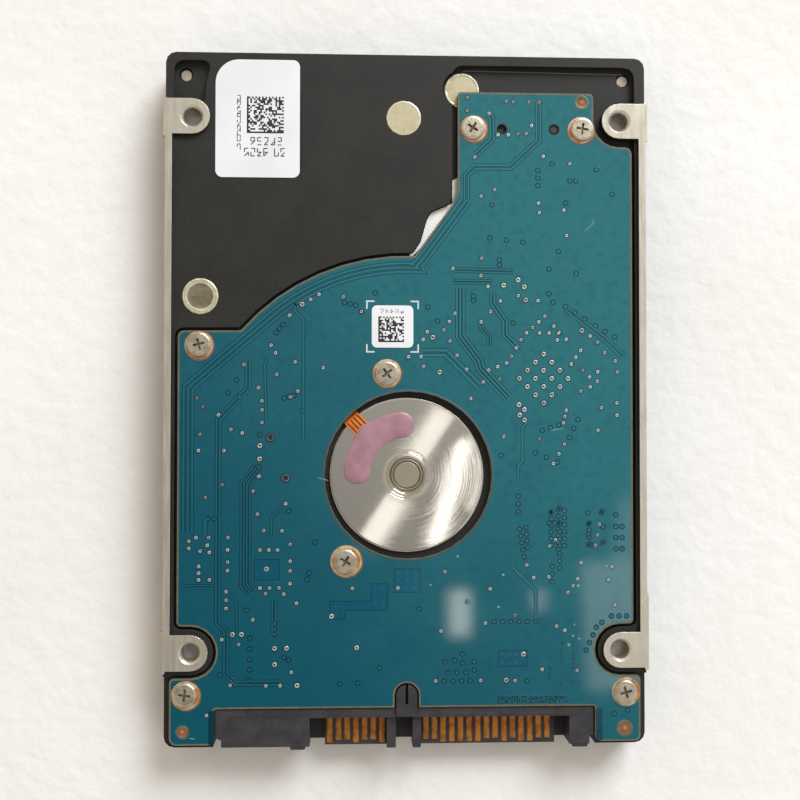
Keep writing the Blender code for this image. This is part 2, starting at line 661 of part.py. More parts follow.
def motor_stator():
    """The plate in the casting's bore, the bearing sleeve in its tube, and the wound core."""
    top = 5.9
    plate = [(MOTOR_RADIUS, top), (MOTOR_RADIUS, 5.0), (3.3, 5.0), (3.3, 3.35), (2.65, 3.35), (2.65, 6.05),
             (3.3, 6.05), (3.3, top)]
    turned("motor_plate", SPINDLE, plate, "machined_aluminium", segments=32)
    sleeve = [(2.55, 5.6), (2.55, 3.4), (1.36, 3.4), (1.36, 5.6)]
    turned("bearing_sleeve", SPINDLE, sleeve, "machined_aluminium", segments=16)
    cap = [(0, 5.98), (1.2, 5.98), (1.3, 5.9), (1.5, 5.9), (1.6, 5.98), (2.6, 5.98), (2.6, 5.65), (0, 5.65)]
    turned("bearing_cap", SPINDLE, cap, "machined_aluminium", segments=20)
    core = stator_shape(0)
    prism("stator_core", core, 3.6, 4.4, "core_steel", [circle(SPINDLE, 3.4, 24)])
    windings = prism("stator_windings", circle(SPINDLE, 5.5, 18), 4.45, 4.75, "copper_wire",
                     [circle(SPINDLE, 4.9, 18)])
    for i in range(STATOR_TEETH):
        loop = bar(SPINDLE, 360 / STATOR_TEETH * i, 5.0, 7.1, 1.9, 2.4)
        join(windings, prism(f"winding_{i}", loop, 3.4, 4.6))
    cut(windings, prism("core_space", stator_shape(FIT), 3.55, 4.45))


def stator_shape(spread):
    """The core's outline: a ring with teeth that widen into shoes."""
    pitch = 360 / STATOR_TEETH
    points = []
    for i in range(STATOR_TEETH):
        middle = pitch * i
        neck = [(4.6, -0.55 - spread), (7.4 - spread, -0.55 - spread), (7.6 - spread, -2.3), (8.3, -2.5)]
        tooth = neck + [(8.7, 0)] + [(x, -y) for x, y in reversed(neck)]
        placed = [(SPINDLE[0] + x, SPINDLE[1] + y) for x, y in tooth]
        points += turned_about(placed, SPINDLE, middle)
    return points


def motor_rotor():
    """The hub with its shaft, the ring magnet inside its skirt, the disc, and the clamp that holds it."""
    hub = [(0, 5.5), (1.25, 5.5), (1.25, 3.1), (10.1, 3.1), (10.1, 4.75), (10.6, 4.75), (10.6, 3.3),
           (11.2, 3.3), (11.2, DISC_Z + DISC_T / 2 + FIT), (9.95, DISC_Z + DISC_T / 2 + FIT), (9.95, 1.9),
           (6.0, 1.9), (6.0, 1.6), (0.85, 1.6), (0.85, 3.4), (0, 3.4)]
    magnet = [(10.05, 4.7), (10.05, 3.35), (9.05, 3.35), (9.05, 4.7)]
    low, high = DISC_Z - DISC_T / 2, DISC_Z + DISC_T / 2
    disc = [(DISC_RADIUS, high), (DISC_RADIUS, low), (DISC_BORE, low), (DISC_BORE, high)]
    clamp = [(12.3, low - FIT), (12.3, 1.8), (11.4, 1.45), (9.4, 1.3), (1.2, 1.3), (1.2, 1.55), (9.2, 1.55),
             (10.9, 1.8), (11.0, low - FIT)]
    made = [turned("rotor_hub", SPINDLE, hub, "machined_aluminium", segments=24),
            turned("ring_magnet", SPINDLE, magnet, "magnet", segments=24),
            turned("platter", SPINDLE, disc, "disc_mirror", segments=48),
            turned("disc_clamp", SPINDLE, clamp, "stamped_steel", segments=24),
            star_screw("clamp_screw", SPINDLE, 2.6, 0.8, 1.26, 0.75, 3.2)]
    return made


def motor_flex():
    """The thin ribbon that climbs from under the board onto the motor plate."""
    thick = 0.1
    path = [(15.6, 5.42), (11.8, 5.42), (11.3, 5.94), (9.2, 5.94)]
    side = [(r, z) for r, z in path] + [(r, z + thick) for r, z in reversed(path)]
    ribbon = prism("motor_flex", side[::-1], -1.25, 1.25, "flex_film")
    stand = Matrix.Rotation(math.radians(90), 4, "X")
    aim = Matrix.Rotation(math.radians(134.5), 4, "Z")
    ribbon.data.transform(Matrix.Translation(Vector((*SPINDLE, 0)) * MM) @ aim @ stand)
    return ribbon


def adhesive_patch():
    """The cured bead that seals the ribbon's end, bent round the motor's centre."""
    inner, outer, start, end = 5.3, 9.15, 96.7, 175.5
    middle, half = (inner + outer) / 2, (outer - inner) / 2
    tips = []
    for angle in (start, end):
        around = math.radians(angle)
        tips.append((SPINDLE[0] + middle * math.cos(around), SPINDLE[1] + middle * math.sin(around)))
    shape = arc(SPINDLE, outer, start, end, 12)
    shape += arc(tips[1], half, end, end + 180, 6)[1:-1]
    shape += arc(SPINDLE, inner, end, start, 12)
    shape += arc(tips[0], half, start + 180, start + 360, 6)[1:-1]
    return prism("adhesive_patch", shape, 5.93, 6.25, "pink_adhesive")


# ---------------------------------------------------------------- actuator

def actuator():
    """The arms on their pivot sleeve, the coil, and a head on each suspension."""
    coil_line = PARKED + 180 + COIL_LEAD
    low, high = 1.35, 3.75
    arms = prism("actuator_arm", circle(PIVOT, 5.2, 24), low, high, "machined_aluminium",
                 [circle(PIVOT, 3.3, 18)])
    for name, bottom in (("low_arm", low), ("high_arm", high - 0.5)):
        blade = prism(name, bar(PIVOT, PARKED, 4.0, 19.5, 7.6, 4.4), bottom, bottom + 0.5)
        join(arms, blade)
    tail = sector(PIVOT, 4.4, 9.35, coil_line - 22, coil_line + 22)
    join(arms, prism("arm_tail", tail, 2.15, 2.95))
    coil_low = DISC_Z - 0.35
    coil = prism("voice_coil", sector(PIVOT, 9.45, 19.0, coil_line - 22, coil_line + 22), coil_low,
                 coil_low + 0.7, "copper_wire", [sector(PIVOT, 12.3, 16.2, coil_line - 12, coil_line + 12)])
    sleeve = turned("pivot_sleeve", PIVOT, [(3.2, 3.7), (3.2, 1.4), (1.7, 1.4), (1.7, 3.7)],
                    "screw_steel", segments=18)
    sheet = 0.12
    lower = suspension("lower_suspension", low + 0.5 + 0.03, sheet, 1)
    upper = suspension("upper_suspension", high - 0.5 - 0.03 - sheet, sheet, -1)
    return [arms, coil, sleeve, lower, upper]


def suspension(name, level, sheet, towards):
    """A tapered spring sheet with the lift tab at its tip and the head on the disc's side."""
    spring = prism(name, bar(PIVOT, PARKED, 14.5, HEAD_REACH + 0.6, 4.0, 1.0), level, level + sheet,
                   "stamped_steel")
    tab = prism(f"{name}_tab", bar(PIVOT, PARKED, HEAD_REACH, TAB_REACH, 0.5, 0.5), level, level + sheet)
    face = level + sheet if towards > 0 else level
    head_low = face - 0.02 if towards > 0 else face - 0.16
    head = prism(f"{name}_head", bar(PIVOT, PARKED, HEAD_REACH - 0.6, HEAD_REACH + 0.4, 0.8, 0.8), head_low,
                 head_low + 0.18)
    return join(spring, tab, head)


def pivot_shaft():
    profile = [(3.0, CAVITY_Z - 0.03), (3.0, 3.75), (1.6, 3.75), (1.6, 1.2), (0.8, 1.2), (0.8, CAVITY_Z - 0.03)]
    return turned("pivot_shaft", PIVOT, profile, "screw_steel", segments=16)


def voice_coil_motor():
    """Two steel plates and two magnets with the coil between them; posts tie the plates."""
    start, end = YOKE_START, 178
    inner, outer = 9.0, 20.3
    lower = prism("lower_yoke", sector(PIVOT, inner, outer, start, end), 0.7, 1.28, "stamped_steel")
    for i, angle in enumerate((start + 3.5, end - 3)):
        around = math.radians(angle)
        place = (PIVOT[0] + 18.2 * math.cos(around), PIVOT[1] + 18.2 * math.sin(around))
        join(lower, cylinder(f"yoke_post_{i}", place, 0.75, 1.0, 3.85, segments=10))
    prism("upper_yoke", sector(PIVOT, inner, outer, start, end), 3.89, 4.5, "stamped_steel")
    pole = sector(PIVOT, 10.0, 18.4, start + 8, end - 8)
    prism("lower_magnet", pole, 1.32, 1.8, "magnet")
    prism("upper_magnet", pole, 3.25, 3.85, "magnet")


def load_ramp():
    """The plastic ramp that lifts the heads off the disc, slotted for the disc's edge."""
    body = prism("load_ramp", sector(PIVOT, TAB_REACH - 0.75, TAB_REACH + 1.2, PARKED - 6, PARKED + 1.5),
                 2.04, 3.06, "ramp_plastic")
    foot = (31.5, 1.4)
    join(body, cylinder("ramp_foot", foot, 0.8, 2.04, CAVITY_Z - 0.03, segments=12))
    return cut(body, cylinder("disc_slot", SPINDLE, DISC_RADIUS + 0.25, 2.16, 2.94, segments=48))


def latch():
    """The small lever beside the coil, on a pin that stands on the casting's floor."""
    cylinder("latch_pin", LATCH, 0.6, 1.7, CAVITY_Z - 0.03, "screw_steel", segments=12)
    lever = prism("actuator_latch", circle(LATCH, 1.5, 16), 2.1, 3.2, "black_plastic",
                  [circle(LATCH, 0.72, 12)])
    hook = bar(LATCH, 25, 1.1, 2.9, 1.2, 0.9)
    weight = bar(LATCH, 205, 1.1, 5.0, 1.4, 2.2)
    return join(lever, prism("latch_hook", hook, 2.2, 3.1), prism("latch_weight", weight, 2.2, 3.1))


def head_wiring():
    """The bracket, the ribbon from the heads, and the connector that reaches through to the board."""
    box("flex_bracket", 12.9, 25.5, 34.95, 42.2, 3.3, 3.9, "stamped_steel")
    middle, radius, half = (17.0, 31.5), 3.3, 0.08
    ribbon = arc(middle, radius + half, 90, 200, 12) + arc(middle, radius - half, 200, 90, 12)
    prism("preamp_flex", ribbon, 2.0, 3.6, "flex_film")
    connector = box("head_connector", 12.5, 22.7, 37.9, 40.9, 3.95, BOARD_Z - FIT, "black_plastic")
    join(connector, cylinder("long_peg", HEAD_PEGS[1], 0.55, 5.2, 6.3, segments=12),
         cylinder("short_peg", HEAD_PEGS[0], 0.5, 5.2, 5.9, segments=12))


def recirculation_filter():
    """The pillow that catches particles in the air stream beside the disc."""
    place = (-24.3, 18.2)
    pillow = bar((0, 0), 0, -2.5, 2.5, 1.7, 1.7)
    moved = [(place[0] + x, place[1] + y) for x, y in turned_about(pillow, (0, 0), 50)]
    return prism("recirculation_filter", moved, 1.6, 3.9, "filter_cloth")


# ---------------------------------------------------------------- assembly

def build():
    base_casting()
    top_cover()
    cover_gasket()
    cover_label()
    cover_screws()
    star_screw("pivot_screw", PIVOT, 2.4, 0.25, FLANGE_Z - 0.03, 0.7, 3.4)
    board_insulator()
    circuit_board()
    chips()
    board_screws()
    labels_and_seals()
    connector_housing()
    contact_row("signal_contacts", FIRST_SIGNAL_X, 7, SIGNAL_LONG)
    contact_row("power_contacts", FIRST_POWER_X, 15, POWER_LONG)
    motor_stator()
    motor_flex()
    adhesive_patch()
    pivot_shaft()
    voice_coil_motor()
    load_ramp()
    head_wiring()
    recirculation_filter()
    for piece in motor_rotor():
        put_origin(piece, SPINDLE)
    for piece in actuator():
        put_origin(piece, PIVOT)
    put_origin(latch(), LATCH)


build()
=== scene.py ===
"""Looks for a 2.5-inch hard disk drive, seen from its circuit board side.

Sizes are in millimetres until a mesh is made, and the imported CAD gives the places.
"""

import json
import math
import random

import bmesh
import bpy
from mathutils import Matrix, Vector


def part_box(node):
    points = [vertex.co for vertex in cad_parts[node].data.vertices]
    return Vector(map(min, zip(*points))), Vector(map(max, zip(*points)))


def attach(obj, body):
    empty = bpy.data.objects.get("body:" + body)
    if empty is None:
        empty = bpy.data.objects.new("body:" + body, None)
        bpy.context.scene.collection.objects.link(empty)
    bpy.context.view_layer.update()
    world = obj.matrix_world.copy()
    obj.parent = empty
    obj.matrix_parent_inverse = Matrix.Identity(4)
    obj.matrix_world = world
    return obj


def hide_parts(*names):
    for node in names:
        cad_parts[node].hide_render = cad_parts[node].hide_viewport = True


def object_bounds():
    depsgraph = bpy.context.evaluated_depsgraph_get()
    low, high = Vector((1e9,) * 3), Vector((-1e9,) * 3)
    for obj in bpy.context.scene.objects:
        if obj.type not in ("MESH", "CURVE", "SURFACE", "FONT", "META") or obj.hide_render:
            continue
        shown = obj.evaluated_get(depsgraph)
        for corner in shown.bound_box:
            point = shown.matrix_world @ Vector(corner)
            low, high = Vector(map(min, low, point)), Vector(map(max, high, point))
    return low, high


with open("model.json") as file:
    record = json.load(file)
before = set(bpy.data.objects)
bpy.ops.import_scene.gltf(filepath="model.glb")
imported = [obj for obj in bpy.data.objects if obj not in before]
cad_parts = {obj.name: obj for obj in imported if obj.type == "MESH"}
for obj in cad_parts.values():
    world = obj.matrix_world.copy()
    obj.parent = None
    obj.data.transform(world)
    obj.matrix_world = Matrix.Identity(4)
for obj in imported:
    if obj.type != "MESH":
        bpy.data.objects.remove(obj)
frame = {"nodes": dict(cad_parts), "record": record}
CAD_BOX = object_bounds()

MM = 0.001
ROOT = "drive_body"


def span(node):
    """A CAD node's lowest and highest corners, in millimetres."""
    low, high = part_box(node)
    return low / MM, high / MM


def middle(node):
    low, high = span(node)
    return ((low.x + high.x) / 2, (low.y + high.y) / 2)


SPINDLE = middle("motor_plate")
BOARD_TOP = span("circuit_board")[1].z
DECK = span("base_label")[0].z - 0.03
HEIGHT = span("base_casting")[1].z
WALL_FACE = 34.7
HOLE_CENTRE = (0.2, -10.85)
LUG_X = 30.86
LUG_Y = (40.6, -36.0)
BOARD_SCREWS = [middle(f"board_screw_{i}") for i in range(1, 8)]
MASK_TOP = BOARD_TOP + 0.02
COPPER_TOP = MASK_TOP + 0.012
SUNK = BOARD_TOP - MASK_TOP  # the bare laminate, measured from the mask's top


# ---------------------------------------------------------------- materials

def srgb(red, green, blue):
    """A colour given as on a screen, 0 to 255, in linear light."""
    made = []
    for value in (red, green, blue):
        share = value / 255
        made.append(share / 12.92 if share <= 0.04045 else ((share + 0.055) / 1.055) ** 2.4)
    return (*made, 1)


SOCKETS = {
    "specular": "Specular IOR Level",
    "coat": "Coat Weight",
    "sheen": "Sheen Weight",
    "subsurface": "Subsurface Weight",
    "subsurface_scale": "Subsurface Scale",
}


class Nodes:
    """A node tree that is built node by node."""

    def __init__(self, tree):
        self.tree = tree

    def node(self, kind, *inputs, **named):
        """A new node: inputs feed its first sockets, capitalised names feed sockets, others are settings."""
        made = self.tree.nodes.new(kind)
        for name, value in named.items():
            if name[0].isupper():
                self.join(value, made.inputs[name])
            else:
                setattr(made, name, value)
        for value, socket in zip(inputs, made.inputs):
            self.join(value, socket)
        return made

    def join(self, value, socket):
        if isinstance(value, bpy.types.NodeSocket):
            self.tree.links.new(value, socket)
        else:
            socket.default_value = value


class Look(Nodes):
    """A procedural material, built node by node around one Principled shader."""

    def __init__(self, name, roughness=0.5, metallic=0.0, soften=0.05, **sockets):
        self.material = bpy.data.materials.new(name)
        self.material.use_nodes = True
        super().__init__(self.material.node_tree)
        self.sockets = self.tree.nodes["Principled BSDF"].inputs
        self.join(roughness, self.sockets["Roughness"])
        self.join(metallic, self.sockets["Metallic"])
        for socket, value in sockets.items():
            self.join(value, self.sockets[SOCKETS[socket]])
        self.place = self.node("ShaderNodeTexCoord").outputs["Object"]
        self.normal = None
        if soften:
            self.normal = self.node("ShaderNodeBevel", samples=4, Radius=soften * MM).outputs["Normal"]
            self.join(self.normal, self.sockets["Normal"])

    def math(self, operation, first, second=0.0):
        return self.node("ShaderNodeMath", first, second, operation=operation).outputs[0]

    def wave(self, value, turns):
        return self.math("SINE", self.math("MULTIPLY", value, turns))

    def axes(self):
        """The three coordinates in millimetres."""
        scaled = self.node("ShaderNodeVectorMath", self.place, operation="SCALE", Scale=1 / MM)
        return self.node("ShaderNodeSeparateXYZ", scaled.outputs[0]).outputs

    def noise(self, per_mm, detail=3.0, stretch=(1, 1, 1), twist=0.0):
        """Noise with so many features in a millimetre."""
        spread = self.node("ShaderNodeMapping", Vector=self.place, Scale=stretch).outputs["Vector"]
        return self.node("ShaderNodeTexNoise", Vector=spread, Scale=per_mm / MM, Detail=detail,
                         Distortion=twist).outputs["Fac"]

    def cells(self, per_mm):
        return self.node("ShaderNodeTexVoronoi", Vector=self.place, Scale=per_mm / MM).outputs["Distance"]

    def step(self, value, low, high, bottom=0.0, top=1.0):
        """A smooth change from bottom to top while value goes from low to high."""
        return self.node("ShaderNodeMapRange", value, low, high, bottom, top,
                         interpolation_type="SMOOTHSTEP").outputs[0]

    def mix(self, share, first, second):
        """Two colours, each an output or three numbers for srgb(), mixed by the share."""
        made = self.node("ShaderNodeMix", share, data_type="RGBA")
        for value, socket in ((first, made.inputs[6]), (second, made.inputs[7])):
            self.join(srgb(*value) if isinstance(value, tuple) else value, socket)
        return made.outputs[2]

    def blend(self, value, low, high, first, second, top=1.0):
        """The first colour, turning to the second as far as top while value goes from low to high."""
        return self.mix(self.step(value, low, high, 0.0, top), first, second)

    def layers(self, broad, first, second, fine, tint, top, low=0.5, high=0.8):
        """Broad clouds of two colours, tinted as far as top where the fine noise is high."""
        base = self.blend(broad, 0.3, 0.7, first, second)
        self.colour(self.blend(fine, low, high, base, tint, top))

    def colour(self, output):
        self.join(output, self.sockets["Base Color"])

    def rough(self, value, low, high):
        self.join(self.step(value, 0.25, 0.75, low, high), self.sockets["Roughness"])

    def bump(self, height, depth):
        """Raises the surface by up to depth millimetres."""
        made = self.node("ShaderNodeBump", Distance=depth * MM, Height=height)
        if self.normal:
            self.join(self.normal, made.inputs["Normal"])
        self.normal = made.outputs["Normal"]
        self.join(self.normal, self.sockets["Normal"])


def near_point(look, x, y, places):
    """The distance in millimetres to the nearest of the places."""
    nearest = None
    for px, py in places:
        dx = look.math("SUBTRACT", x, px)
        dy = look.math("SUBTRACT", y, py)
        squares = look.math("ADD", look.math("MULTIPLY", dx, dx), look.math("MULTIPLY", dy, dy))
        distance = look.math("SQRT", squares)
        nearest = look.math("MINIMUM", nearest, distance) if nearest else distance
    return nearest


def coated_casting():
    """Black coating over the whole casting, cut away on the mounting faces and in their holes; the side
    pads' faces and the hole bores are drawn darker as painted shade.
    """
    look = Look("black_coated_casting", roughness=0.5, soften=0.12, specular=0.4)
    x, y, z = look.axes()
    fine, broad, grain = look.noise(5, 4), look.noise(0.16, 4), look.noise(14, 2)
    coat = look.blend(broad, 0.3, 0.7, (26, 25, 23), (34, 33, 30))
    coat = look.blend(fine, 0.5, 0.8, coat, (54, 52, 48), 0.5)
    cut_marks = look.noise(0.3, 3, stretch=(7, 0.6, 1))
    bare = look.blend(cut_marks, 0.3, 0.7, (220, 213, 199), (230, 224, 211))
    bare = look.blend(broad, 0.35, 0.65, bare, (214, 204, 180), 0.5)
    side = look.math("ABSOLUTE", x)
    top = look.step(z, HEIGHT - 0.06, HEIGHT - 0.03)
    pads = look.step(side, WALL_FACE + 0.06, WALL_FACE + 0.12)
    from_hole = near_point(look, side, y, [(LUG_X, at) for at in LUG_Y])
    holes = look.step(from_hole, 1.95, 1.8)
    metal = look.math("MAXIMUM", look.math("MAXIMUM", top, pads), holes)
    # Painted shade: the side pads' faces below the top are drawn dark brown, as if out of the light.
    bare = look.mix(look.math("MULTIPLY", pads, look.step(top, 1.0, 0.0)), bare, (128, 116, 98))
    # Painted shade: the hole bores are drawn a darker grey than the bright chamfers round them.
    bare = look.blend(from_hole, 1.42, 1.32, bare, (178, 174, 166))
    look.colour(look.mix(metal, coat, bare))
    look.join(look.math("MULTIPLY", metal, 0.8), look.sockets["Metallic"])
    coat_rough = look.step(fine, 0.3, 0.7, 0.46, 0.62)
    bare_rough = look.step(cut_marks, 0.3, 0.7, 0.27, 0.35)
    rougher = look.math("MULTIPLY", metal, look.math("SUBTRACT", bare_rough, coat_rough))
    look.join(look.math("ADD", rougher, coat_rough), look.sockets["Roughness"])
    look.bump(grain, 0.006)
    look.bump(fine, 0.012)
    look.bump(cut_marks, 0.002)
    return look.material


def turned_metal(name, light, dark, roughness=0.3):
    """Bare metal with the fine rings that a lathe leaves about the spindle."""
    look = Look(name, roughness=roughness, metallic=0.9)
    x, y, _ = look.axes()
    radius = near_point(look, x, y, [SPINDLE])
    across = look.math("MULTIPLY", radius, 9.0)
    rings = look.node("ShaderNodeTexNoise", noise_dimensions="1D", W=across, Detail=5).outputs["Fac"]
    stain = look.noise(0.35, 4)
    base = look.blend(rings, 0.35, 0.65, dark, light)
    look.colour(look.blend(stain, 0.45, 0.75, base, dark, 0.2))
    look.rough(rings, roughness - 0.01, roughness + 0.01)
    look.bump(rings, 0.0003)
    return look.material


def sheet_metal(name, light, dark, roughness=0.35, grain=(1, 12, 1), metallic=0.95):
    """Rolled or plated metal, with a fine directional grain and faint stains."""
    look = Look(name, roughness=roughness, metallic=metallic)
    lines, stain = look.noise(0.9, 4, stretch=grain), look.noise(0.25, 4)
    look.layers(lines, dark, light, stain, dark, 0.4)
    look.rough(lines, roughness - 0.06, roughness + 0.08)
    look.bump(lines, 0.003)
    return look.material


def moulded(name, light, dark, roughness=0.5, grain=6.0, depth=0.01, soften=0.06):
    """A moulded or cast surface with a slight mottle and fine spark-eroded texture."""
    look = Look(name, roughness=roughness, soften=soften)
    fine, broad = look.noise(grain, 4), look.noise(0.5, 4)
    look.layers(broad, dark, light, fine, light, 0.3, 0.55)
    look.rough(fine, roughness - 0.06, roughness + 0.1)
    look.bump(fine, depth)
    return look.material


def laminate():
    """Bare glass-fibre laminate: the woven cloth shows faintly under pale resin."""
    look = Look("glass_laminate", roughness=0.5, soften=0.04)
    x, y, z = look.axes()
    weave = look.math("MULTIPLY", look.wave(x, 14.0), look.wave(y, 14.0))
    blotch = look.noise(1.2, 4)
    base = look.blend(blotch, 0.3, 0.7, (84, 86, 70), (108, 108, 90))
    layers = look.wave(z, 45.0)
    base = look.blend(layers, 0.5, 1.0, base, (84, 72, 50), 0.3)
    look.colour(look.blend(weave, -1, 1, base, (130, 128, 108), 0.2))
    look.bump(weave, 0.004)
    return look.material


def masked(name, shaded_colour, lit_colour, rough=0.035, share=1.0):
    """Solder mask: clear teal resin over copper, drawn darker towards the lower left and lighter towards the
    upper right as painted shade and light.
    """
    look = Look(name, roughness=rough, soften=0.0, specular=0.5)
    x, y, _ = look.axes()
    cloud, fine, mottle = look.noise(0.12, 4), look.noise(5, 4), look.noise(0.8, 3)
    # Painted light: a slope across the board from shade at the lower left to light at the upper right.
    slope = look.math("ADD", look.math("MULTIPLY", x, 0.011), look.math("MULTIPLY", y, 0.009))
    slope = look.math("ADD", slope, look.math("MULTIPLY", cloud, 0.5))
    base = look.blend(slope, -0.35, 0.75, shaded_colour, lit_colour)
    deeper = look.math("MULTIPLY", look.step(mottle, 0.45, 0.75, 0.0, 0.3), share)
    base = look.mix(deeper, base, (4, 66, 98))
    look.colour(look.blend(fine, 0.5, 0.8, base, (70, 130, 132), 0.06))
    weave = look.math("MULTIPLY", look.wave(x, 13.0), look.wave(y, 13.0))
    look.rough(fine, rough - 0.005, rough + 0.015)
    look.bump(weave, 0.0003)
    look.bump(mottle, 0.0010)
    return look.material


def tinned(name, light, dark, metallic=0.85, roughness=0.3):
    """Solder-levelled or bare copper: bright, slightly lumpy metal with oxide blushes."""
    look = Look(name, roughness=roughness, metallic=metallic, soften=0.03)
    blush, lumps = look.noise(0.9, 3), look.noise(3.5, 3)
    look.colour(look.blend(blush, 0.42, 0.62, light, dark))
    look.rough(lumps, roughness - 0.06, roughness + 0.12)
    look.bump(lumps, 0.015)
    return look.material


def label_film():
    look = Look("label_film", roughness=0.45, soften=0.03, coat=0.15)
    fibre, cloud = look.noise(6, 4), look.noise(0.12, 3)
    look.layers(cloud, (222, 224, 230), (232, 233, 238), fibre, (214, 216, 222), 0.25)
    look.bump(fibre, 0.003)
    return look.material


def print_ink(name, deep, thin):
    look = Look(name, roughness=0.5, soften=0.0)
    look.colour(look.mix(look.step(look.noise(9, 3), 0.45, 0.75), deep, thin))
    look.bump(look.noise(9, 3), 0.002)
    return look.material


def foil(name, light, dark, crinkle=0.02):
    """Satin adhesive foil with soft dents."""
    look = Look(name, roughness=0.4, metallic=0.45, soften=0.04)
    dents, fine, cloud = look.noise(0.9, 3, twist=0.6), look.noise(7, 3), look.noise(0.4, 3)
    look.colour(look.blend(cloud, 0.35, 0.65, light, dark))
    look.rough(fine, 0.34, 0.5)
    look.bump(dents, crinkle)
    look.bump(fine, 0.003)
    return look.material


def foam_sheet():
    look = Look("closed_cell_foam", roughness=0.8, soften=0.05)
    cells, cloud = look.cells(4), look.noise(0.4, 3)
    base = look.blend(cloud, 0.3, 0.7, (240, 240, 236), (250, 250, 248))
    look.colour(look.mix(look.step(cells, 0.1, 0.6, 0.15, 0.0), base, (214, 212, 204)))
    look.bump(cells, 0.04)
    return look.material


def flex_film():
    """Amber polyimide with a faint mottle."""
    look = Look("polyimide_film", roughness=0.3, soften=0.03, coat=0.4)
    cloud, fine = look.noise(0.8, 3), look.noise(8, 3)
    look.layers(cloud, (196, 98, 18), (220, 128, 36), fine, (166, 78, 14), 0.3)
    look.bump(fine, 0.004)
    return look.material


def cured_adhesive():
    look = Look("cured_pink_adhesive", roughness=0.34, soften=0.0, subsurface=0.15,
                subsurface_scale=0.0006)
    cloud, fine = look.noise(0.5, 4), look.noise(4, 3)
    look.layers(cloud, (154, 115, 128), (170, 128, 141), fine, (172, 138, 148), 0.15, 0.55, 0.85)
    look.rough(cloud, 0.3, 0.4)
    look.bump(cloud, 0.03)
    look.bump(fine, 0.004)
    return look.material


def wound_wire():
    look = Look("enamelled_wire", roughness=0.35, metallic=0.8)
    x, y, z = look.axes()
    around = near_point(look, x, y, [SPINDLE])
    turns = look.wave(look.math("ADD", around, z), 40.0)
    blush = look.noise(0.8, 3)
    base = look.blend(blush, 0.3, 0.7, (176, 92, 44), (206, 124, 66))
    # Painted shade: the grooves between the turns are drawn dark brown.
    look.colour(look.mix(look.step(turns, -1, 0.2, 0.7, 0.0), base, (84, 36, 16)))
    look.bump(turns, 0.03)
    return look.material


def filter_cloth():
    look = Look("filter_cloth", roughness=0.9, sheen=0.3)
    fibre = look.noise(4, 4, stretch=(1, 4, 1), twist=1.5)
    look.colour(look.blend(fibre, 0.3, 0.7, (206, 206, 200), (238, 238, 234)))
    look.bump(fibre, 0.05)
    return look.material


def polished_disc():
    look = Look("polished_disc", roughness=0.08, metallic=1.0, soften=0.05)
    x, y, _ = look.axes()
    radius = near_point(look, x, y, [SPINDLE])
    bands = look.wave(radius, 3.0)
    haze = look.noise(0.08, 3)
    base = look.blend(bands, -1, 1, (198, 198, 200), (206, 206, 208))
    look.colour(look.blend(haze, 0.4, 0.7, base, (182, 184, 188), 0.4))
    look.rough(haze, 0.06, 0.12)
    return look.material


LOOKS = {
    "coated_casting": coated_casting(),
    "motor_metal": turned_metal("turned_aluminium", (222, 216, 204), (206, 199, 186), 0.03),
    "actuator_metal": sheet_metal("machined_aluminium", (206, 206, 204), (176, 176, 174), 0.32),
    "cover_steel": sheet_metal("stamped_steel", (196, 196, 193), (168, 168, 165), 0.36, (10, 1, 1)),
    "yoke_steel": sheet_metal("nickel_plated_steel", (200, 198, 192), (176, 173, 166), 0.22, (3, 3, 1)),
    "screw_steel": tinned("screw_steel", (206, 198, 180), (184, 170, 150), 0.85, 0.34),
    "spring_steel": sheet_metal("spring_steel", (204, 204, 202), (180, 180, 178), 0.25, (6, 6, 1)),
    "gasket_rubber": moulded("gasket_rubber", (38, 38, 38), (28, 28, 28), 0.7, 5, 0.02),
    "label_paper": label_film(),
    "seal_foil": foil("satin_foil", (200, 191, 158), (190, 181, 146)),
    "board_laminate": laminate(),
    "board_foam": foam_sheet(),
    "connector_plastic": moulded("connector_plastic", (54, 52, 56), (38, 37, 41), 0.5, 7, 0.014),
    "contact_gold": tinned("contact_gold", (204, 132, 54), (178, 104, 48), 0.72, 0.36),
    "chip_epoxy": moulded("chip_epoxy", (40, 40, 41), (30, 30, 31), 0.6, 9, 0.012),
    "flex_film": flex_film(),
    "pink_adhesive": cured_adhesive(),
    "winding_copper": wound_wire(),
    "core_steel": sheet_metal("lacquered_core", (120, 118, 116), (90, 88, 86), 0.45, (2, 2, 9)),
    "magnet_nickel": sheet_metal("plated_magnet", (196, 194, 188), (172, 170, 164), 0.25, (4, 4, 1)),
    "disc_mirror": polished_disc(),
    "ramp_plastic": moulded("ramp_plastic", (222, 214, 188), (206, 196, 168), 0.45, 6, 0.008),
    "latch_plastic": moulded("latch_plastic", (58, 58, 60), (46, 46, 48), 0.5, 6, 0.01),
    "filter_cloth": filter_cloth(),
}
MASK = masked("teal_solder_mask", (8, 78, 94), (32, 106, 114))
MASK_GAP = masked("mask_over_laminate", (0, 48, 64), (8, 66, 80), 0.16, 0.5)
MASK_LINE = masked("mask_over_copper", (6, 90, 104), (42, 116, 122), 0.14, 0.3)
MASK_BLUE = masked("mask_over_inner_plane", (0, 74, 98), (14, 94, 112), 0.1, 0.6)
TIN = tinned("solder_levelled_pad", (186, 190, 186), (150, 154, 148), 0.5, 0.4)
DULL_TIN = tinned("dull_pad", (150, 152, 138), (128, 116, 98), 0.5, 0.4)
COPPER = tinned("bare_copper", (186, 138, 104), (204, 184, 154), 0.7, 0.38)
CREAM_PAD = tinned("gilded_pad", (206, 192, 160), (188, 156, 118), 0.6, 0.38)
RUST = tinned("stained_copper", (136, 92, 64), (104, 80, 62), 0.25, 0.55)
ORANGE_STAIN = tinned("orange_stain", (184, 122, 50), (160, 104, 62), 0.2, 0.55)
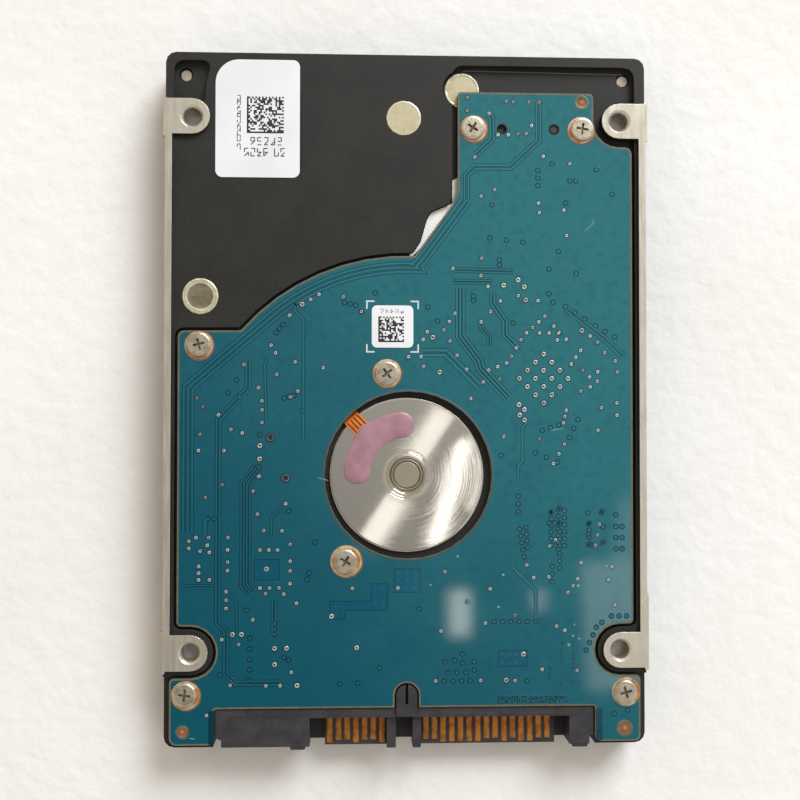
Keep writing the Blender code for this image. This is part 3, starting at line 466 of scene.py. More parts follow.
SLATE = print_ink("slate_hole_edge", (58, 72, 78), (76, 86, 86))
OLIVE_RING = tinned("olive_ring", (104, 112, 96), (92, 92, 74), 0.3, 0.45)
RECESS_DARK = tinned("recess_shadow", (136, 122, 102), (96, 84, 70), 0.6, 0.4)
EDGE_SHEEN = print_ink("edge_sheen", (104, 102, 98), (60, 58, 55))
HOLE_DARK = print_ink("hole_shadow", (22, 26, 30), (30, 36, 40))
INK = print_ink("black_ink", (30, 30, 34), (44, 44, 48))
PALE_INK = print_ink("white_ink", (206, 216, 210), (176, 196, 190))
LINT = print_ink("lint", (128, 158, 156), (96, 134, 136))
GREY_INK = print_ink("grey_ink", (150, 154, 160), (170, 174, 180))


def dress_cad_nodes():
    """Gives each CAD node the look of its material slot in the record."""
    for part in frame["record"]["subparts"]:
        node = frame["nodes"][part["node"]]
        look = LOOKS[part["material_slot"]]
        node.data.materials.clear()
        node.data.materials.append(look)


# ---------------------------------------------------------------- outlines

def arc(centre, radius, start, end, steps):
    angles = (math.radians(start + (end - start) * i / steps) for i in range(steps + 1))
    return [(centre[0] + radius * math.cos(a), centre[1] + radius * math.sin(a)) for a in angles]


def circle(centre, radius, steps=48):
    return arc(centre, radius, 0, 360, steps)[:-1]


def rounded(corners, steps=8):
    """A closed outline in which each corner (x, y, radius) becomes an arc."""
    points = []
    for i, (x, y, radius) in enumerate(corners):
        here = Vector((x, y))
        before = (Vector(corners[i - 1][:2]) - here).normalized()
        after = (Vector(corners[(i + 1) % len(corners)][:2]) - here).normalized()
        half = before.angle(after) / 2
        hub = here + (before + after).normalized() * radius / math.sin(half)
        start = here + before * radius / math.tan(half) - hub
        turn = start.angle_signed(here + after * radius / math.tan(half) - hub)
        for step in range(steps + 1):
            points.append(tuple(hub + Matrix.Rotation(-turn * step / steps, 2) @ start))
    return points


def box(x0, x1, y0, y1):
    return [(x0, y0), (x1, y0), (x1, y1), (x0, y1)]


def rectangle(x0, x1, y0, y1, radius=0.05, steps=3):
    """Rounded corners, with one radius or a list of four that starts at the lower left."""
    radii = radius if isinstance(radius, list) else [radius] * 4
    return rounded([(x, y, r) for (x, y), r in zip(box(x0, x1, y0, y1), radii)], steps)


def sideways(path, i):
    """The mitred sideways direction at a point of an open path."""
    here = Vector(path[i])
    back = (here - Vector(path[i - 1])).normalized() if i else None
    ahead = (Vector(path[i + 1]) - here).normalized() if i + 1 < len(path) else None
    back, ahead = back or ahead, ahead or back
    along = (back + ahead).normalized()
    side = Vector((-along.y, along.x))
    return side / max(0.5, side.dot(Vector((-back.y, back.x))))


def alongside(path, distance):
    """The path moved to its left by a distance."""
    return [tuple(Vector(point) + sideways(path, i) * distance) for i, point in enumerate(path)]


def mitred(loop, i, distance):
    """A closed loop's point, moved towards the loop's left side."""
    here, following = Vector(loop[i]), loop[(i + 1) % len(loop)]
    back = (here - Vector(loop[i - 1])).normalized()
    ahead = (Vector(following) - here).normalized()
    side = Vector((-back.y - ahead.y, back.x + ahead.x)).normalized()
    return here + side * distance / max(0.5, side.dot(Vector((-back.y, back.x))))


def pulled_in(loop, distance):
    return [tuple(mitred(loop, i, distance)) for i in range(len(loop))]


def shrunk(loop, distance):
    """A loop that is pulled in; points that would come too close to the loop are dropped."""
    kept = []
    for i in range(len(loop)):
        moved = mitred(loop, i, distance)
        if all(gap_to_edge(moved, loop[j - 1], loop[j]) > distance * 0.97 for j in range(len(loop))):
            kept.append(tuple(moved))
    return kept


def gap_to_edge(point, start, end):
    start, along = Vector(start), Vector(end) - Vector(start)
    share = min(1.0, max(0.0, (point - start).dot(along) / max(along.length_squared, 1e-12)))
    return (point - start - along * share).length


# ---------------------------------------------------------------- pieces

class Sketch:
    """Solid shapes, drawn in millimetres, that become one piece."""

    def __init__(self):
        self.work = bmesh.new()
        self.looks = []

    def level_ring(self, points, level):
        return [self.work.verts.new((x * MM, y * MM, level * MM)) for x, y in points]

    def face(self, verts, look):
        if look not in self.looks:
            self.looks.append(look)
        self.work.faces.new(verts).material_index = self.looks.index(look)

    def solid(self, rings, look):
        """Skins rings of the same number of points and closes both ends."""
        for low, high in zip(rings, rings[1:]):
            for j in range(len(low)):
                self.face([low[j - 1], low[j], high[j], high[j - 1]], look)
        self.face(rings[0][::-1], look)
        self.face(rings[-1], look)

    def plate(self, outline, low, high, look, edge=0.0):
        """A flat plate with an outline, and a chamfer round its top if edge is given."""
        rings = [self.level_ring(outline, low)]
        if edge:
            rings.append(self.level_ring(outline, high - edge))
            outline = pulled_in(outline, edge)
        self.solid(rings + [self.level_ring(outline, high)], look)

    def turned(self, centre, profile, look, steps=32):
        """Turns a (radius, level) profile, which goes outwards and then down, about a vertical axis.

        Look may be a list with one look for each band between two points.
        """
        rings = [self.level_ring(circle(centre, radius, steps) if radius > 0 else [centre], level)
                 for radius, level in profile]
        bands = list(zip(rings, rings[1:]))
        if profile[0][0] > 0:
            bands.append((rings[-1], rings[0]))
        for i, (inner, outer) in enumerate(bands):
            band_look = look[i] if isinstance(look, list) else look
            for j in range(steps):
                if len(inner) == 1:
                    corners = [inner[0], outer[j - 1], outer[j]]
                elif len(outer) == 1:
                    corners = [inner[j - 1], outer[0], inner[j]]
                else:
                    corners = [inner[j - 1], outer[j - 1], outer[j], inner[j]]
                self.face(corners, band_look)

    def ribbon(self, path, width, low, high, look):
        """A flat band along a path, narrower at its top so that its edges catch light."""
        half, slant = width / 2, min(width * 0.2, high - low)
        rings = []
        for i, (x, y) in enumerate(path):
            side = sideways(path, i)
            ring = []
            for reach, level in ((-half, low), (half, low), (half - slant, high), (slant - half, high)):
                ring += self.level_ring([(x + side.x * reach, y + side.y * reach)], level)
            rings.append(ring)
        self.solid(rings, look)

    def drawn(self, name):
        """The shapes as one object, put in the scene."""
        bmesh.ops.recalc_face_normals(self.work, faces=self.work.faces)
        mesh = bpy.data.meshes.new(name)
        self.work.to_mesh(mesh)
        self.work.free()
        for look in self.looks:
            mesh.materials.append(look)
        return shown(bpy.data.objects.new(name, mesh))

    def make(self, name, stands_for=(), sharp=35):
        piece = self.drawn(name)
        smooth(piece.data, sharp)
        return settle(piece, stands_for)


def shown(thing):
    bpy.context.scene.collection.objects.link(thing)
    return thing


def smooth(mesh, sharp=35):
    """Smooth shading, apart from edges that turn by more than so many degrees."""
    mesh.shade_smooth()
    mesh.set_sharp_from_angle(angle=math.radians(sharp))


def settle(piece, stands_for=()):
    """Puts a piece on the drive's body and hides the CAD nodes that it stands for."""
    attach(piece, ROOT)
    if stands_for:
        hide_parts(*stands_for)
    return piece


def evaluated_mesh(thing):
    """A mesh of what a curve or an object with modifiers amounts to."""
    bpy.context.view_layer.update()
    return bpy.data.meshes.new_from_object(thing.evaluated_get(bpy.context.evaluated_depsgraph_get()))


def sheet_from_loops(name, loops, low, high, look):
    """A flat sheet with holes, filled between its loops and given a thickness."""
    curve = bpy.data.curves.new(name, "CURVE")
    curve.dimensions = "2D"
    curve.fill_mode = "BOTH"
    curve.extrude = (high - low) / 2 * MM
    for loop in loops:
        spline = curve.splines.new("POLY")
        spline.points.add(len(loop) - 1)
        for point, (x, y) in zip(spline.points, loop):
            point.co = (x * MM, y * MM, 0, 1)
        spline.use_cyclic_u = True
    drawn = shown(bpy.data.objects.new(name, curve))
    mesh = evaluated_mesh(drawn)
    bpy.data.objects.remove(drawn, do_unlink=True)
    mesh.transform(Matrix.Translation((0, 0, (low + high) / 2 * MM)))
    mesh.materials.clear()
    mesh.materials.append(look)
    work = bmesh.new()
    work.from_mesh(mesh)
    bmesh.ops.remove_doubles(work, verts=work.verts, dist=1e-7)
    bmesh.ops.recalc_face_normals(work, faces=work.faces)
    work.to_mesh(mesh)
    work.free()
    mesh.shade_flat()
    return shown(bpy.data.objects.new(name, mesh))


def cut_away(piece, tool):
    """Cuts the tool out of the piece and throws the tool away."""
    step = piece.modifiers.new("cut", "BOOLEAN")
    step.operation = "DIFFERENCE"
    step.solver = "EXACT"
    step.material_mode = "TRANSFER"
    step.object = tool
    cut_mesh = evaluated_mesh(piece)
    piece.modifiers.clear()
    piece.data = cut_mesh
    smooth(cut_mesh)
    bpy.data.objects.remove(tool, do_unlink=True)


# ---------------------------------------------------------------- circuit board

MASK_MARGIN = 0.26
HOLE_MARGIN = 0.1
WIDE_HOLE = 5.0  # narrower holes have the smaller margin


def top_loops(node):
    """The edges of a CAD node's top face as loops with the face on their left."""
    work = bmesh.new()
    work.from_mesh(frame["nodes"][node].data)
    bmesh.ops.remove_doubles(work, verts=work.verts, dist=1e-6)
    level = max(vert.co.z for vert in work.verts) - 1e-5
    others = [f for f in work.faces if min(v.co.z for v in f.verts) < level]
    bmesh.ops.delete(work, geom=others, context="FACES")
    following = {}
    for edge in work.edges:
        if edge.is_boundary:
            corner = edge.link_loops[0]
            following[corner.vert] = corner.link_loop_next.vert
    loops = []
    while following:
        vert, after = following.popitem()
        loop = [vert]
        while after in following:
            loop.append(after)
            after = following.pop(after)
        loops.append([(v.co.x / MM, v.co.y / MM) for v in loop])
    work.free()
    return loops


def solder_mask():
    loops = []
    for loop in top_loops("circuit_board"):
        across = max(x for x, _ in loop) - min(x for x, _ in loop)
        loops.append(shrunk(loop, MASK_MARGIN if across > WIDE_HOLE else HOLE_MARGIN))
    sheet = sheet_from_loops("solder_mask", loops, BOARD_TOP, MASK_TOP, MASK)
    settle(sheet)


def rim_path():
    """The line that the board's longest traces follow: down the arm, along the arc and the left edge."""
    path = [(19.1, 43.4), (19.1, 37.7), (15.0, 33.8), (9.8, 33.8), (8.6, 32.6), (8.6, 29.0), (2.3, 20.4),
            (1.4, 19.4)]
    path += arc(SPINDLE, 29.9, 87, 131, 16)
    return path + [(-31.3, 1.7), (-31.3, -19.0)]


def trace_lines():
    """Path and width of the traces that show through the mask and, for more than one, count and pitch."""
    rim = rim_path()
    return [
        (rim[5:], 0.3, 3, 0.62),
        (rim[:6], 0.25, 2, 0.55),
        ([(11.9, 41.4), (12.3, 40.9), (12.3, 37.8), (10.0, 35.6)], 0.25, 2),
        ([(-16.0, 14.0), (-16.2, 12.8), (-14.9, 11.5), (-14.9, -5.6)], 0.3),
        ([(-22.8, 5.6), (-22.8, 1.6), (-27.0, -2.9), (-27.0, -31.8), (-25.8, -33.0), (-25.8, -39.0),
          (-24.4, -40.4), (-18.2, -40.4)], 0.25, 2),
        ([(-20.0, 6.3), (-20.4, 5.0), (-20.2, -3.0)], 0.25),
        ([(-21.2, -9.6), (-23.1, -12.0), (-23.1, -26.4), (-22.2, -27.4)], 0.2, 4, 0.42),
        ([(-28.8, -16.8), (-28.8, -19.3)], 0.5),
        ([(-31.7, -26.5), (-27.6, -26.5)], 0.2),
        ([(-17.8, -15.2), (-19.4, -16.8), (-19.4, -19.6)], 0.25),
        ([(-19.0, -28.6), (-19.0, -33.6)], 0.25, 2),
        ([(-25.6, -27.6), (-24.3, -28.8), (-24.3, -33.0)], 0.25),
        ([(6.8, 18.8), (15.4, 18.6)], 0.18, 2, 0.42),
        ([(6.6, 17.1), (12.3, 17.1)], 0.18, 2, 0.42),
        ([(7.7, 16.2), (7.7, 9.2), (10.4, 5.6), (10.6, 4.6), (14.6, 0.3)], 0.3, 3),
        ([(12.4, 15.4), (12.4, 14.0), (14.2, 11.4), (14.2, 9.4), (16.4, 7.2)], 0.3, 2),
        ([(10.7, 11.1), (10.8, 10.4), (11.9, 9.2), (11.9, 7.8)], 0.2, 2, 0.4),
        ([(2.2, 6.8), (5.6, 6.8), (10.4, 2.0)], 0.4, 2, 0.7),
        ([(17.4, -3.2), (16.7, -4.0), (16.7, -8.9), (16.1, -9.5), (16.1, -11.2)], 0.3),
        ([(15.3, -24.2), (18.6, -27.4), (18.6, -31.6)], 0.35),
        ([(23.0, 13.4), (25.2, 11.6), (28.6, 9.0), (31.4, 6.4)], 0.25, 2, 0.55),
    ]


def on_mask(sketch, centre, profile, look, steps):
    """A turned shape whose profile gives its levels above the mask."""
    sketch.turned(centre, [(radius, MASK_TOP + rise) for radius, rise in profile], look, steps)


def trace(sketch, path, width, count=1, pitch=0.5):
    """Raised lines of masked copper, each on a wider, darker band that shows as a gap on both sides."""
    for i in range(count):
        line = alongside(path, (i - (count - 1) / 2) * pitch)
        sketch.ribbon(line, width + 0.26, BOARD_TOP + 0.005, MASK_TOP + 0.003, MASK_GAP)
        sketch.ribbon(line, width, BOARD_TOP + 0.005, COPPER_TOP, MASK_LINE)


def board_traces():
    sketch = Sketch()
    for line in trace_lines():
        trace(sketch, *line)
    sketch.make("board_traces")


# Rows of plated holes: the first x and y and, for more than one, how many and the step in x and y
BRIGHT_VIAS = (
    (13.2, 38.5, 2, 1.5), (11.9, 41.6), (9.8, 35.2), (18.1, 39.9), (19.8, 35.4), (23.7, 34.4),
    (12.7, 30.5, 2, -2, -1), (19.1, 28.6, 2, 0.1, -1.4), (22.8, 27.6), (23.2, 23.9), (10.8, 20.5),
    (6.6, 19.0), (10.7, 18.0, 2, 1, -1.6), (16.1, 15.1, 2, 2.9, -0.7), (13.5, 14.3, 3, -1.4, -1.5),
    (6.9, 12.5, 3, -0.8, -1.2), (6.2, 8.5), (2.9, 9.8, 2, -0.6, -1.1), (2.0, 6.2, 2, 0.4, -1.4),
    (7.2, 6.4, 2, 1.4, -2), (11.0, 2.6, 2, -1.8, -2.4), (11.8, 4.3, 3, 1.3, 0.5), (15.1, 6.3, 3, 0.7, 1.2),
    (17.3, 9.7, 4, 0.9, 0.8), (19.2, 9.7, 3, 1.4), (21.3, 10.7), (21.8, 8.7, 2, 1.3, 0.1),
    (26.6, 9.3, 2, 1.1, -0.9), (28.7, 6.9, 2, 1.6, -1.2), (25.2, 7.2, 3, -0.7, -1),
    (26.5, 3.3, 2, 1.2, 0.8), (27.6, 2.7, 2, -1, -0.8), (25.2, 1.3), (30.6, 4.1),
    (28.2, -1.1, 2, -0.5, -3.3), (30.5, -0.4, 2, 0, -1.8), (23.1, -1.5, 3, -0.2, -0.9), (14.0, -5.3),
    (22.8, -6.4, 3, -0.8, -1.4), (-13.9, 14.4, 2, 1.2, 0.7), (-9.2, 14.8, 2, 2.6, -2.1), (-16.9, 12.1),
    (-19.5, 7.8, 2, 0.6, -1.1), (-16.1, 5.4, 2, 4, -0.8), (-23.4, 5.0), (-18.7, 3.6, 2, -2.6, -1.9),
    (-15.7, 1.2, 2, -1, -0.8), (-20.8, -0.2, 2, 0, -1.3), (-20.8, -3.3), (-27.0, -2.2, 2, 1.8, -2.1),
    (-23.6, -4.8), (-26.2, -7.3), (-29.8, -7.3), (-21.2, -11.0, 2, -0.8, -2.1), (-17.4, -14.9),
    (-21.4, -16.4, 2, 0.9, -2.3), (-17.9, -18.8), (-25.6, -19.7, 3, 0, -1.75), (-25.6, -24.4),
    (-21.0, -21.5, 3, 1.25), (-16.7, -20.7, 2, 0, -2.4), (-16.7, -24.5, 2, 0, -1.8),
    (-31.1, -20.2, 2, 0, -1), (-30.1, -19.7, 2, 1.8), (-28.5, -20.8, 2, 0.3, -1), (-29.5, -21.6),
    (-29.7, -23.8, 3, 0, -0.95), (-28.2, -25.7), (-25.8, -27.4, 3, 0, -1.2), (-21.0, -26.9, 3, 1.35),
    (-20.2, -27.7, 2, 2.6, -0.1), (-15.8, -29.1), (-22.0, -31.4), (-7.8, -27.0),
    (-24.0, -34.9, 2, -2.4, 0.7), (-16.5, -38.9), (-25.2, -40.7), (-20.1, -40.8, 2, 2), (-28.5, -44.9),
    (27.9, -18.0, 3, -0.3, -1.5), (21.5, -20.2, 2, -0.9, -0.9), (25.2, -23.5), (24.7, -25.8, 3, -0.7, -1),
    (20.5, -25.5), (21.6, -32.6, 2, 1.2, -0.6), (29.7, -24.1, 2, -0.5, -1.9), (30.1, -29.6),
    (24.6, -39.0, 2, -5.1, 0.2), (15.6, -40.4), (4.1, -40.3, 2, 6.5), (0.2, 6.2),
    (5.5, -24.7, 2, 6.5, -2.5), (11.3, -32.1, 2, -6.4, -1.1), (-1.3, -27.0), (18.3, -25.6), (17.3, -23.8),
)
LARGE_VIAS = (
    (14.0, 16.6), (16.1, 17.4, 2, 0.9, -1), (17.2, 14.5), (3.7, 9.0), (4.7, 4.0), (25.4, 10.1),
    (16.2, -0.7, 2, 0.8, -0.7), (16.3, -2.2, 2, 0.7, -0.7), (-15.1, 13.7), (-24.9, -33.5, 2, 1.3),
    (-21.1, -6.6, 2, 0, -1.9), (-10.8, -31.0), (-18.9, -35.5, 2, 1.7), (-18.9, -37.8), (-15.7, -40.8),
    (-7.2, -35.5), (16.8, -36.6), (14.3, -40.3),
)
DULL_VIAS = (
    (8.7, 43.9, 2, 0, -1.9), (14.4, 43.4, 2, 1), (17.7, 43.4, 2, 1.5), (16.1, 38.7, 2, 1.2), (-6.6, 12.7),
    (-30.1, 0.2, 2, 0.9, -1.2), (-29.6, -5.0), (-26.4, -12.2), (-28.8, -14.0), (22.1, 9.8), (23.9, 5.1),
    (25.5, 4.3), (13.4, 3.0), (19.2, -5.6), (15.6, -31.0), (8.7, -29.0),
)
COVERED_VIAS = (
    (21.1, 34.4), (19.0, 33.4, 3, 0, -1.1), (23.7, 31.9, 2, 0.9), (27.6, 33.6), (29.9, 30.0), (23.1, 28.7),
    (12.3, 28.3), (12.0, 23.5, 3, 2.4, -0.3), (13.4, 20.3, 2, 0, -0.7), (20.6, 19.0, 2, 4, -0.6),
    (22.0, 21.6), (9.6, 15.0, 2, 0, -0.6), (20.6, 15.4, 2, 0.6, -1.2), (23.0, 13.6, 3, 1.4, -0.9),
    (27.4, 10.8, 3, 1.4, -0.8), (15.4, 11.2), (-9.0, 14.0, 3, 0.8, -0.2), (-18.8, 9.6, 3, 0.5, 0.6),
    (-24.4, 2.8, 2, 0.4, -2.4), (-25.6, 1.0), (-17.6, 0.2, 3, 0.7, 0.2), (-15.0, -1.6),
    (-21.1, -5.0, 2, 0, -4.6), (-28.4, -17.0, 2, 0.9), (-16.9, -15.9), (-13.2, -20.4),
    (-14.0, -24.8, 2, -0.3, -0.9), (-22.9, -30.0), (-18.9, -31.9, 3, 0, -0.8), (-22.4, -34.0, 5, 0, -1.5),
    (-17.5, -36.8, 2, 0.6, -0.4), (-26.6, -39.2), (26.2, -16.3, 2, 2), (26.3, -17.9, 3, 0, -1.5),
    (30.3, -16.6), (30.3, -18.3, 3, 0, -1.6), (31.2, -18.3, 3, 0, -1.6), (20.8, -16.2, 2, 1.3, 0.6),
    (20.6, -17.8, 3, 0.75), (22.1, -19.0, 6, 0, -1.05), (21.0, -24.0, 3, 0, -1.1),
    (16.1, -13.9, 3, 0, -1.1), (16.3, -18.6, 5, 0.15, -1), (28.2, -32.1), (27.4, -32.8, 4, -0.5, -1.1),
    (29.6, -31.2, 3, 1.1), (5.4, -40.3, 4, 1.25), (5.9, -39.1, 3, 1.3), (9.7, -37.6, 2, 0, -1.2),
    (5.5, -37.6, 2, 1.4, 0.2), (8.0, -36.5, 2, 0, -1.3), (17.3, -40.4), (12.6, -31.9, 6, 1.2),
    (30.0, -45.2, 2, 1.9, 0.5), (20.9, -16.2, 6, 0, -0.95), (21.9, -15.8, 7, 0, -0.95),
    (22.8, -16.0, 6, 0, -1.0), (17.2, -18.4, 4, 0.1, -0.95), (26.4, -17.8, 4, 0, -1.0),
    (28.3, -16.1, 3, 0.1, -2.2), (26.6, -20.9, 2, 1.7, 0.2), (18.6, -7.6, 3, 1.6, -0.7), (-3.9, -38.4),
    (-9.6, -40.6, 2, 2.6, 0.1), (1.8, -30.0), (13.6, -8.0), (24.8, -2.8, 3, -0.6, -1.3),
    (19.6, -4.4, 3, 1.2, 0.4), (-4.6, 15.4), (3.0, 13.4, 2, 1.4, -2),
)
THERMAL_VIA = (-20.1, -24.2)
# Of each kind of plated hole: outer radius, inner radius, look and height
VIA_PROFILES = {
    "bright": (0.25, 0.1, TIN, 0.03),
    "large": (0.35, 0.15, TIN, 0.04),
    "dull": (0.24, 0.11, DULL_TIN, 0.03),
    "covered": (0.4, 0.2, MASK_GAP, 0.016),
}


def via(sketch, place, kind):
    """A plated hole: a low rounded ring round a dark hole, inside a thin gap in the copper."""
    outer, inner, look, height = VIA_PROFILES[kind]
    covered = kind == "covered"
    low = SUNK + 0.005
    moat = outer + (0.03 if covered else 0.15)
    on_mask(sketch, place, [(0, 0.002), (moat, 0.002), (moat, low), (0, low)], MASK_GAP, 14)
    rim = [(0, 0.006), (inner, 0.006), (inner + 0.03, height * 0.8), ((outer + inner) / 2, height),
           (outer - 0.03, height * 0.6), (outer, 0.002), (outer, low), (0, low)]
    on_mask(sketch, place, rim, [MASK_LINE if covered else HOLE_DARK] + [look] * 6, 14)


def row(first_x, first_y, count=1, step_x=0, step_y=0):
    return [(first_x + i * step_x, first_y + i * step_y) for i in range(count)]


def spots(rows):
    return [place for group in rows for place in row(*group)]


def cooling_vias():
    """The diamond of vias over the controller's thermal pad."""
    hub, pitch = (19.8, 3.1), 1.18
    places = []
    for level in range(-3, 4):
        count = 4 - abs(level)
        places += row(hub[0] - (count - 1) * pitch, hub[1] + level * pitch, count, 2 * pitch, 0)
    return places


def board_vias():
    kinds = {
        "bright": spots(BRIGHT_VIAS),
        "large": spots(LARGE_VIAS) + cooling_vias() + [THERMAL_VIA],
        "dull": spots(DULL_VIAS),
        "covered": spots(COVERED_VIAS),
    }
    for kind, places in kinds.items():
        sketch = Sketch()
        for place in places:
            via(sketch, place, kind)
        sketch.make(f"{kind}_vias", sharp=60)


def inlay(sketch, outline, border, edge_look, look):
    """A patch just above the mask, with a fine border in another look."""
    low, level = BOARD_TOP + 0.005, MASK_TOP + 0.001
    sketch.plate(outline, low, level, edge_look)
    sketch.plate(pulled_in(outline, border), low, level + 0.003, look)


def copper_areas():
    """Deeper blue patches of the inner plane, strips by the print, painted shade in strips beside the plug,
    and covered pads.
    """
    sketch = Sketch()
    bent = [(-11.1, -31.5), (-8.8, -31.5), (-8.8, -30.2), (-2.7, -30.2), (-2.7, -26.3), (-5.2, -26.3),
            (-5.2, -28.8), (-11.1, -28.8)]
    for patch in (bent, box(-1.9, 2.0, -27.7, -24.2), box(13.1, 17.4, -38.35, -36.0),
                  box(-21.9, -18.2, -25.8, -22.8)):
        inlay(sketch, patch, 0.12, MASK_GAP, MASK_BLUE)
    inlay(sketch, box(12.9, 23.4, -43.72, -42.5), 0.08, MASK_LINE, MASK_GAP)
    shell_low, shell_high = span("connector_housing")
    # Painted shade: dark strips on the board beside the plug, where the shell's shade falls.
    for left, right in ((shell_low.x - 0.95, shell_low.x - 0.1), (shell_high.x + 0.3, shell_high.x + 1.25)):
        border = rectangle(left, right, -49.0, -44.3, [0.05, 0.05, 0.05, 0.3])
        sketch.plate(border, BOARD_TOP + 0.005, MASK_TOP + 0.001, MASK_GAP)
    sketch.make("copper_areas")
    dots = Sketch()
    rows = ((13.8, -36.6, 3, 1.0, 0), (13.8, -37.8, 3, 1.0, 0), (-1.2, -24.9, 3, 1.2, 0),
            (-1.2, -26.0, 3, 1.2, 0), (-1.2, -27.1, 3, 1.2, 0), (-10.2, -29.6, 2, 0, -1.1),
            (-4.6, -27.2, 2, 1.2, 0), (-4.6, -29.2, 2, 1.2, 0))
    for place in spots(rows):
        on_mask(dots, place, [(0, 0.02), (0.1, 0.015), (0.16, 0.004), (0, SUNK)], MASK_LINE, 10)
    dots.make("covered_pads", sharp=60)


def glyph(sketch, x, y, size, chance, low, high, look):
    """A few random strokes of a small grid: they pass for print and, by chance, for a digit at times."""
    stroke = size * 0.15
    left, right = x - size * 0.25, x + size * 0.25
    levels = (y - size / 2, y, y + size / 2)
    strokes = [[(left, level), (right, level)] for level in levels]
    for side in (left, right):
        strokes += [[(side, bottom), (side, top)] for bottom, top in zip(levels, levels[1:])]
    strokes.append([(left, levels[0]), (right, levels[1])])
    for path in chance.sample(strokes, chance.choice((4, 4, 5))):
        sketch.ribbon(path, stroke, low, high, look)


def board_print():
    """Marks that the board carries: an unreadable strip, made-up glyphs and the label's corner marks."""
    chance = random.Random(11)
    sketch = Sketch()
    low, high = MASK_TOP, MASK_TOP + 0.012
    for x, y in row(13.5, -43.11, 15, 0.68, 0):
        glyph(sketch, x, y, 0.78, chance, low, high, MASK_LINE)
    for column in (20.6, 22.4, 24.0):
        for x, y in row(column, -34.9, 9, 0, -0.72):
            if chance.random() < 0.75:
                glyph(sketch, x, y, 0.6, chance, low, high, MASK_GAP)
    corners = ((-5.8, 14.2, 1, -1), (1.6, 14.2, -1, -1), (-5.8, 6.9, 1, 1), (1.6, 6.9, -1, 1))
    for x, y, across, along in corners:
        path = [(x + across * 1.1, y), (x, y), (x, y + along * 1.1)]
        sketch.ribbon(path, 0.22, low, high, PALE_INK)
    sketch.make("board_print")


def collar(sketch, centre, inner, outer, height, look):
    """A flat ring on the board with a sloping outer edge."""
    profile = [(inner, height), (outer - 0.06, height), (outer, 0), (outer, SUNK), (inner, SUNK)]
    on_mask(sketch, centre, profile, look, 56)


def screw_pads():
    """A ring of bare metal under each board screw's head; all but the last lie on a rusty ring."""
    pads = ((0.1, -0.12, 1.98, COPPER), (-0.18, -0.16, 1.98, COPPER), (0.0, -0.15, 2.08, COPPER),
            (0.0, 0.0, 2.08, CREAM_PAD), (0.08, 0.0, 2.3, CREAM_PAD), (0.12, -0.1, 2.08, CREAM_PAD),
            (0.1, 0.0, 2.08, CREAM_PAD))
    sketch = Sketch()
    for number, (across, along, radius, finish) in enumerate(pads):
        x, y = BOARD_SCREWS[number][0] + across, BOARD_SCREWS[number][1] + along
        if number < 6:
            collar(sketch, (x + 0.08, y - 0.05), 0.9, radius + 0.08, 0.012, RUST)
        collar(sketch, (x, y), 0.8, radius - 0.02, 0.022, finish)
    for number, start, end in ((6, -45, 62), (5, -40, 30), (4, -30, 60)):
        centre = BOARD_SCREWS[number]
        crescent = arc(centre, 2.12, start, end, 14) + arc(centre, 1.72, end, start, 14)
        sketch.plate(crescent, BOARD_TOP, MASK_TOP + 0.03, ORANGE_STAIN)
    sketch.make("screw_pads", sharp=50)


def tooling_pads():
    """Round copper-lined holes at the board's corners, dark inside, and the small plain ones."""
    sketch = Sketch()
    for x, y, outer in ((25.45, 43.4, 1.05), (-31.95, -47.24, 0.95), (31.48, -47.33, 1.22)):
        # The dish stands for the hole and the screw tip seen in it: its brown and orange bands are partly
        # the tip's own colour and partly painted shade down the hole.
        dish = [(0, -0.03), (outer * 0.25, -0.03), (outer * 0.3, -0.05), (outer * 0.62, -0.04),
                (outer * 0.72, 0.015), (outer - 0.06, 0.015), (outer, 0), (outer, SUNK), (0, SUNK - 0.2)]
        on_mask(sketch, (x, y), dish, [ORANGE_STAIN] + [RUST] * 3 + [OLIVE_RING] * 4, 36)
    edge = [(12.06, 0.008), (12.3, 0.008), (12.34, SUNK), (12.06, SUNK)]
    on_mask(sketch, HOLE_CENTRE, edge, SLATE, 120)
    for x, y, inner, outer in ((13.8, 39.4, 0.66, 0.8), (21.4, 39.4, 0.66, 0.86)):
        rim = [(inner, 0.012), (outer, 0.004), (outer, SUNK), (inner, SUNK)]
        on_mask(sketch, (x, y), rim, HOLE_DARK, 28)
    rim = [(0, 0.004), (0.42, 0.004), (0.5, 0.02), (0.62, 0.02), (0.72, 0), (0.72, SUNK), (0, SUNK)]
    for place in ((-19.6, -5.4), (-17.4, -11.2)):
        on_mask(sketch, place, rim, [HOLE_DARK, DULL_TIN] + [MASK_GAP] * 4, 28)
    sketch.make("tooling_pads", sharp=50)


def residue():
    """Small scratches, lint and dried specks on the board."""
    sketch = Sketch()
    strokes = ([(25.9, 24.6), (27.3, 25.9)], [(26.9, 26.0), (27.3, 26.2)],
               [(-12.7, -11.2), (-11.3, -11.6)], [(20.8, -4.4), (22.6, -4.1)],
               [(-30.9, -48.1), (-30.1, -48.25)], [(3.9, -10.6), (4.6, -10.9)])
    for path in strokes:
        sketch.ribbon(path, 0.09, MASK_TOP, MASK_TOP + 0.014, LINT)
    specks = ((7.3, -22.5, 0.16), (13.9, -25.2, 0.18), (3.4, -26.6, 0.14), (7.0, -31.1, 0.18),
              (13.2, -29.8, 0.17), (23.4, -35.3, 0.2), (24.0, -34.0, 0.16), (24.2, -32.4, 0.12),
              (24.8, -26.8, 0.2), (28.9, -24.0, 0.15), (24.9, -34.4, 0.14))
    for x, y, radius in specks:
        on_mask(sketch, (x, y), [(0, 0.014), (radius * 0.7, 0.011), (radius, 0), (0, 0)], LINT, 12)
    sketch.make("board_residue", sharp=60)


# ---------------------------------------------------------------- screws

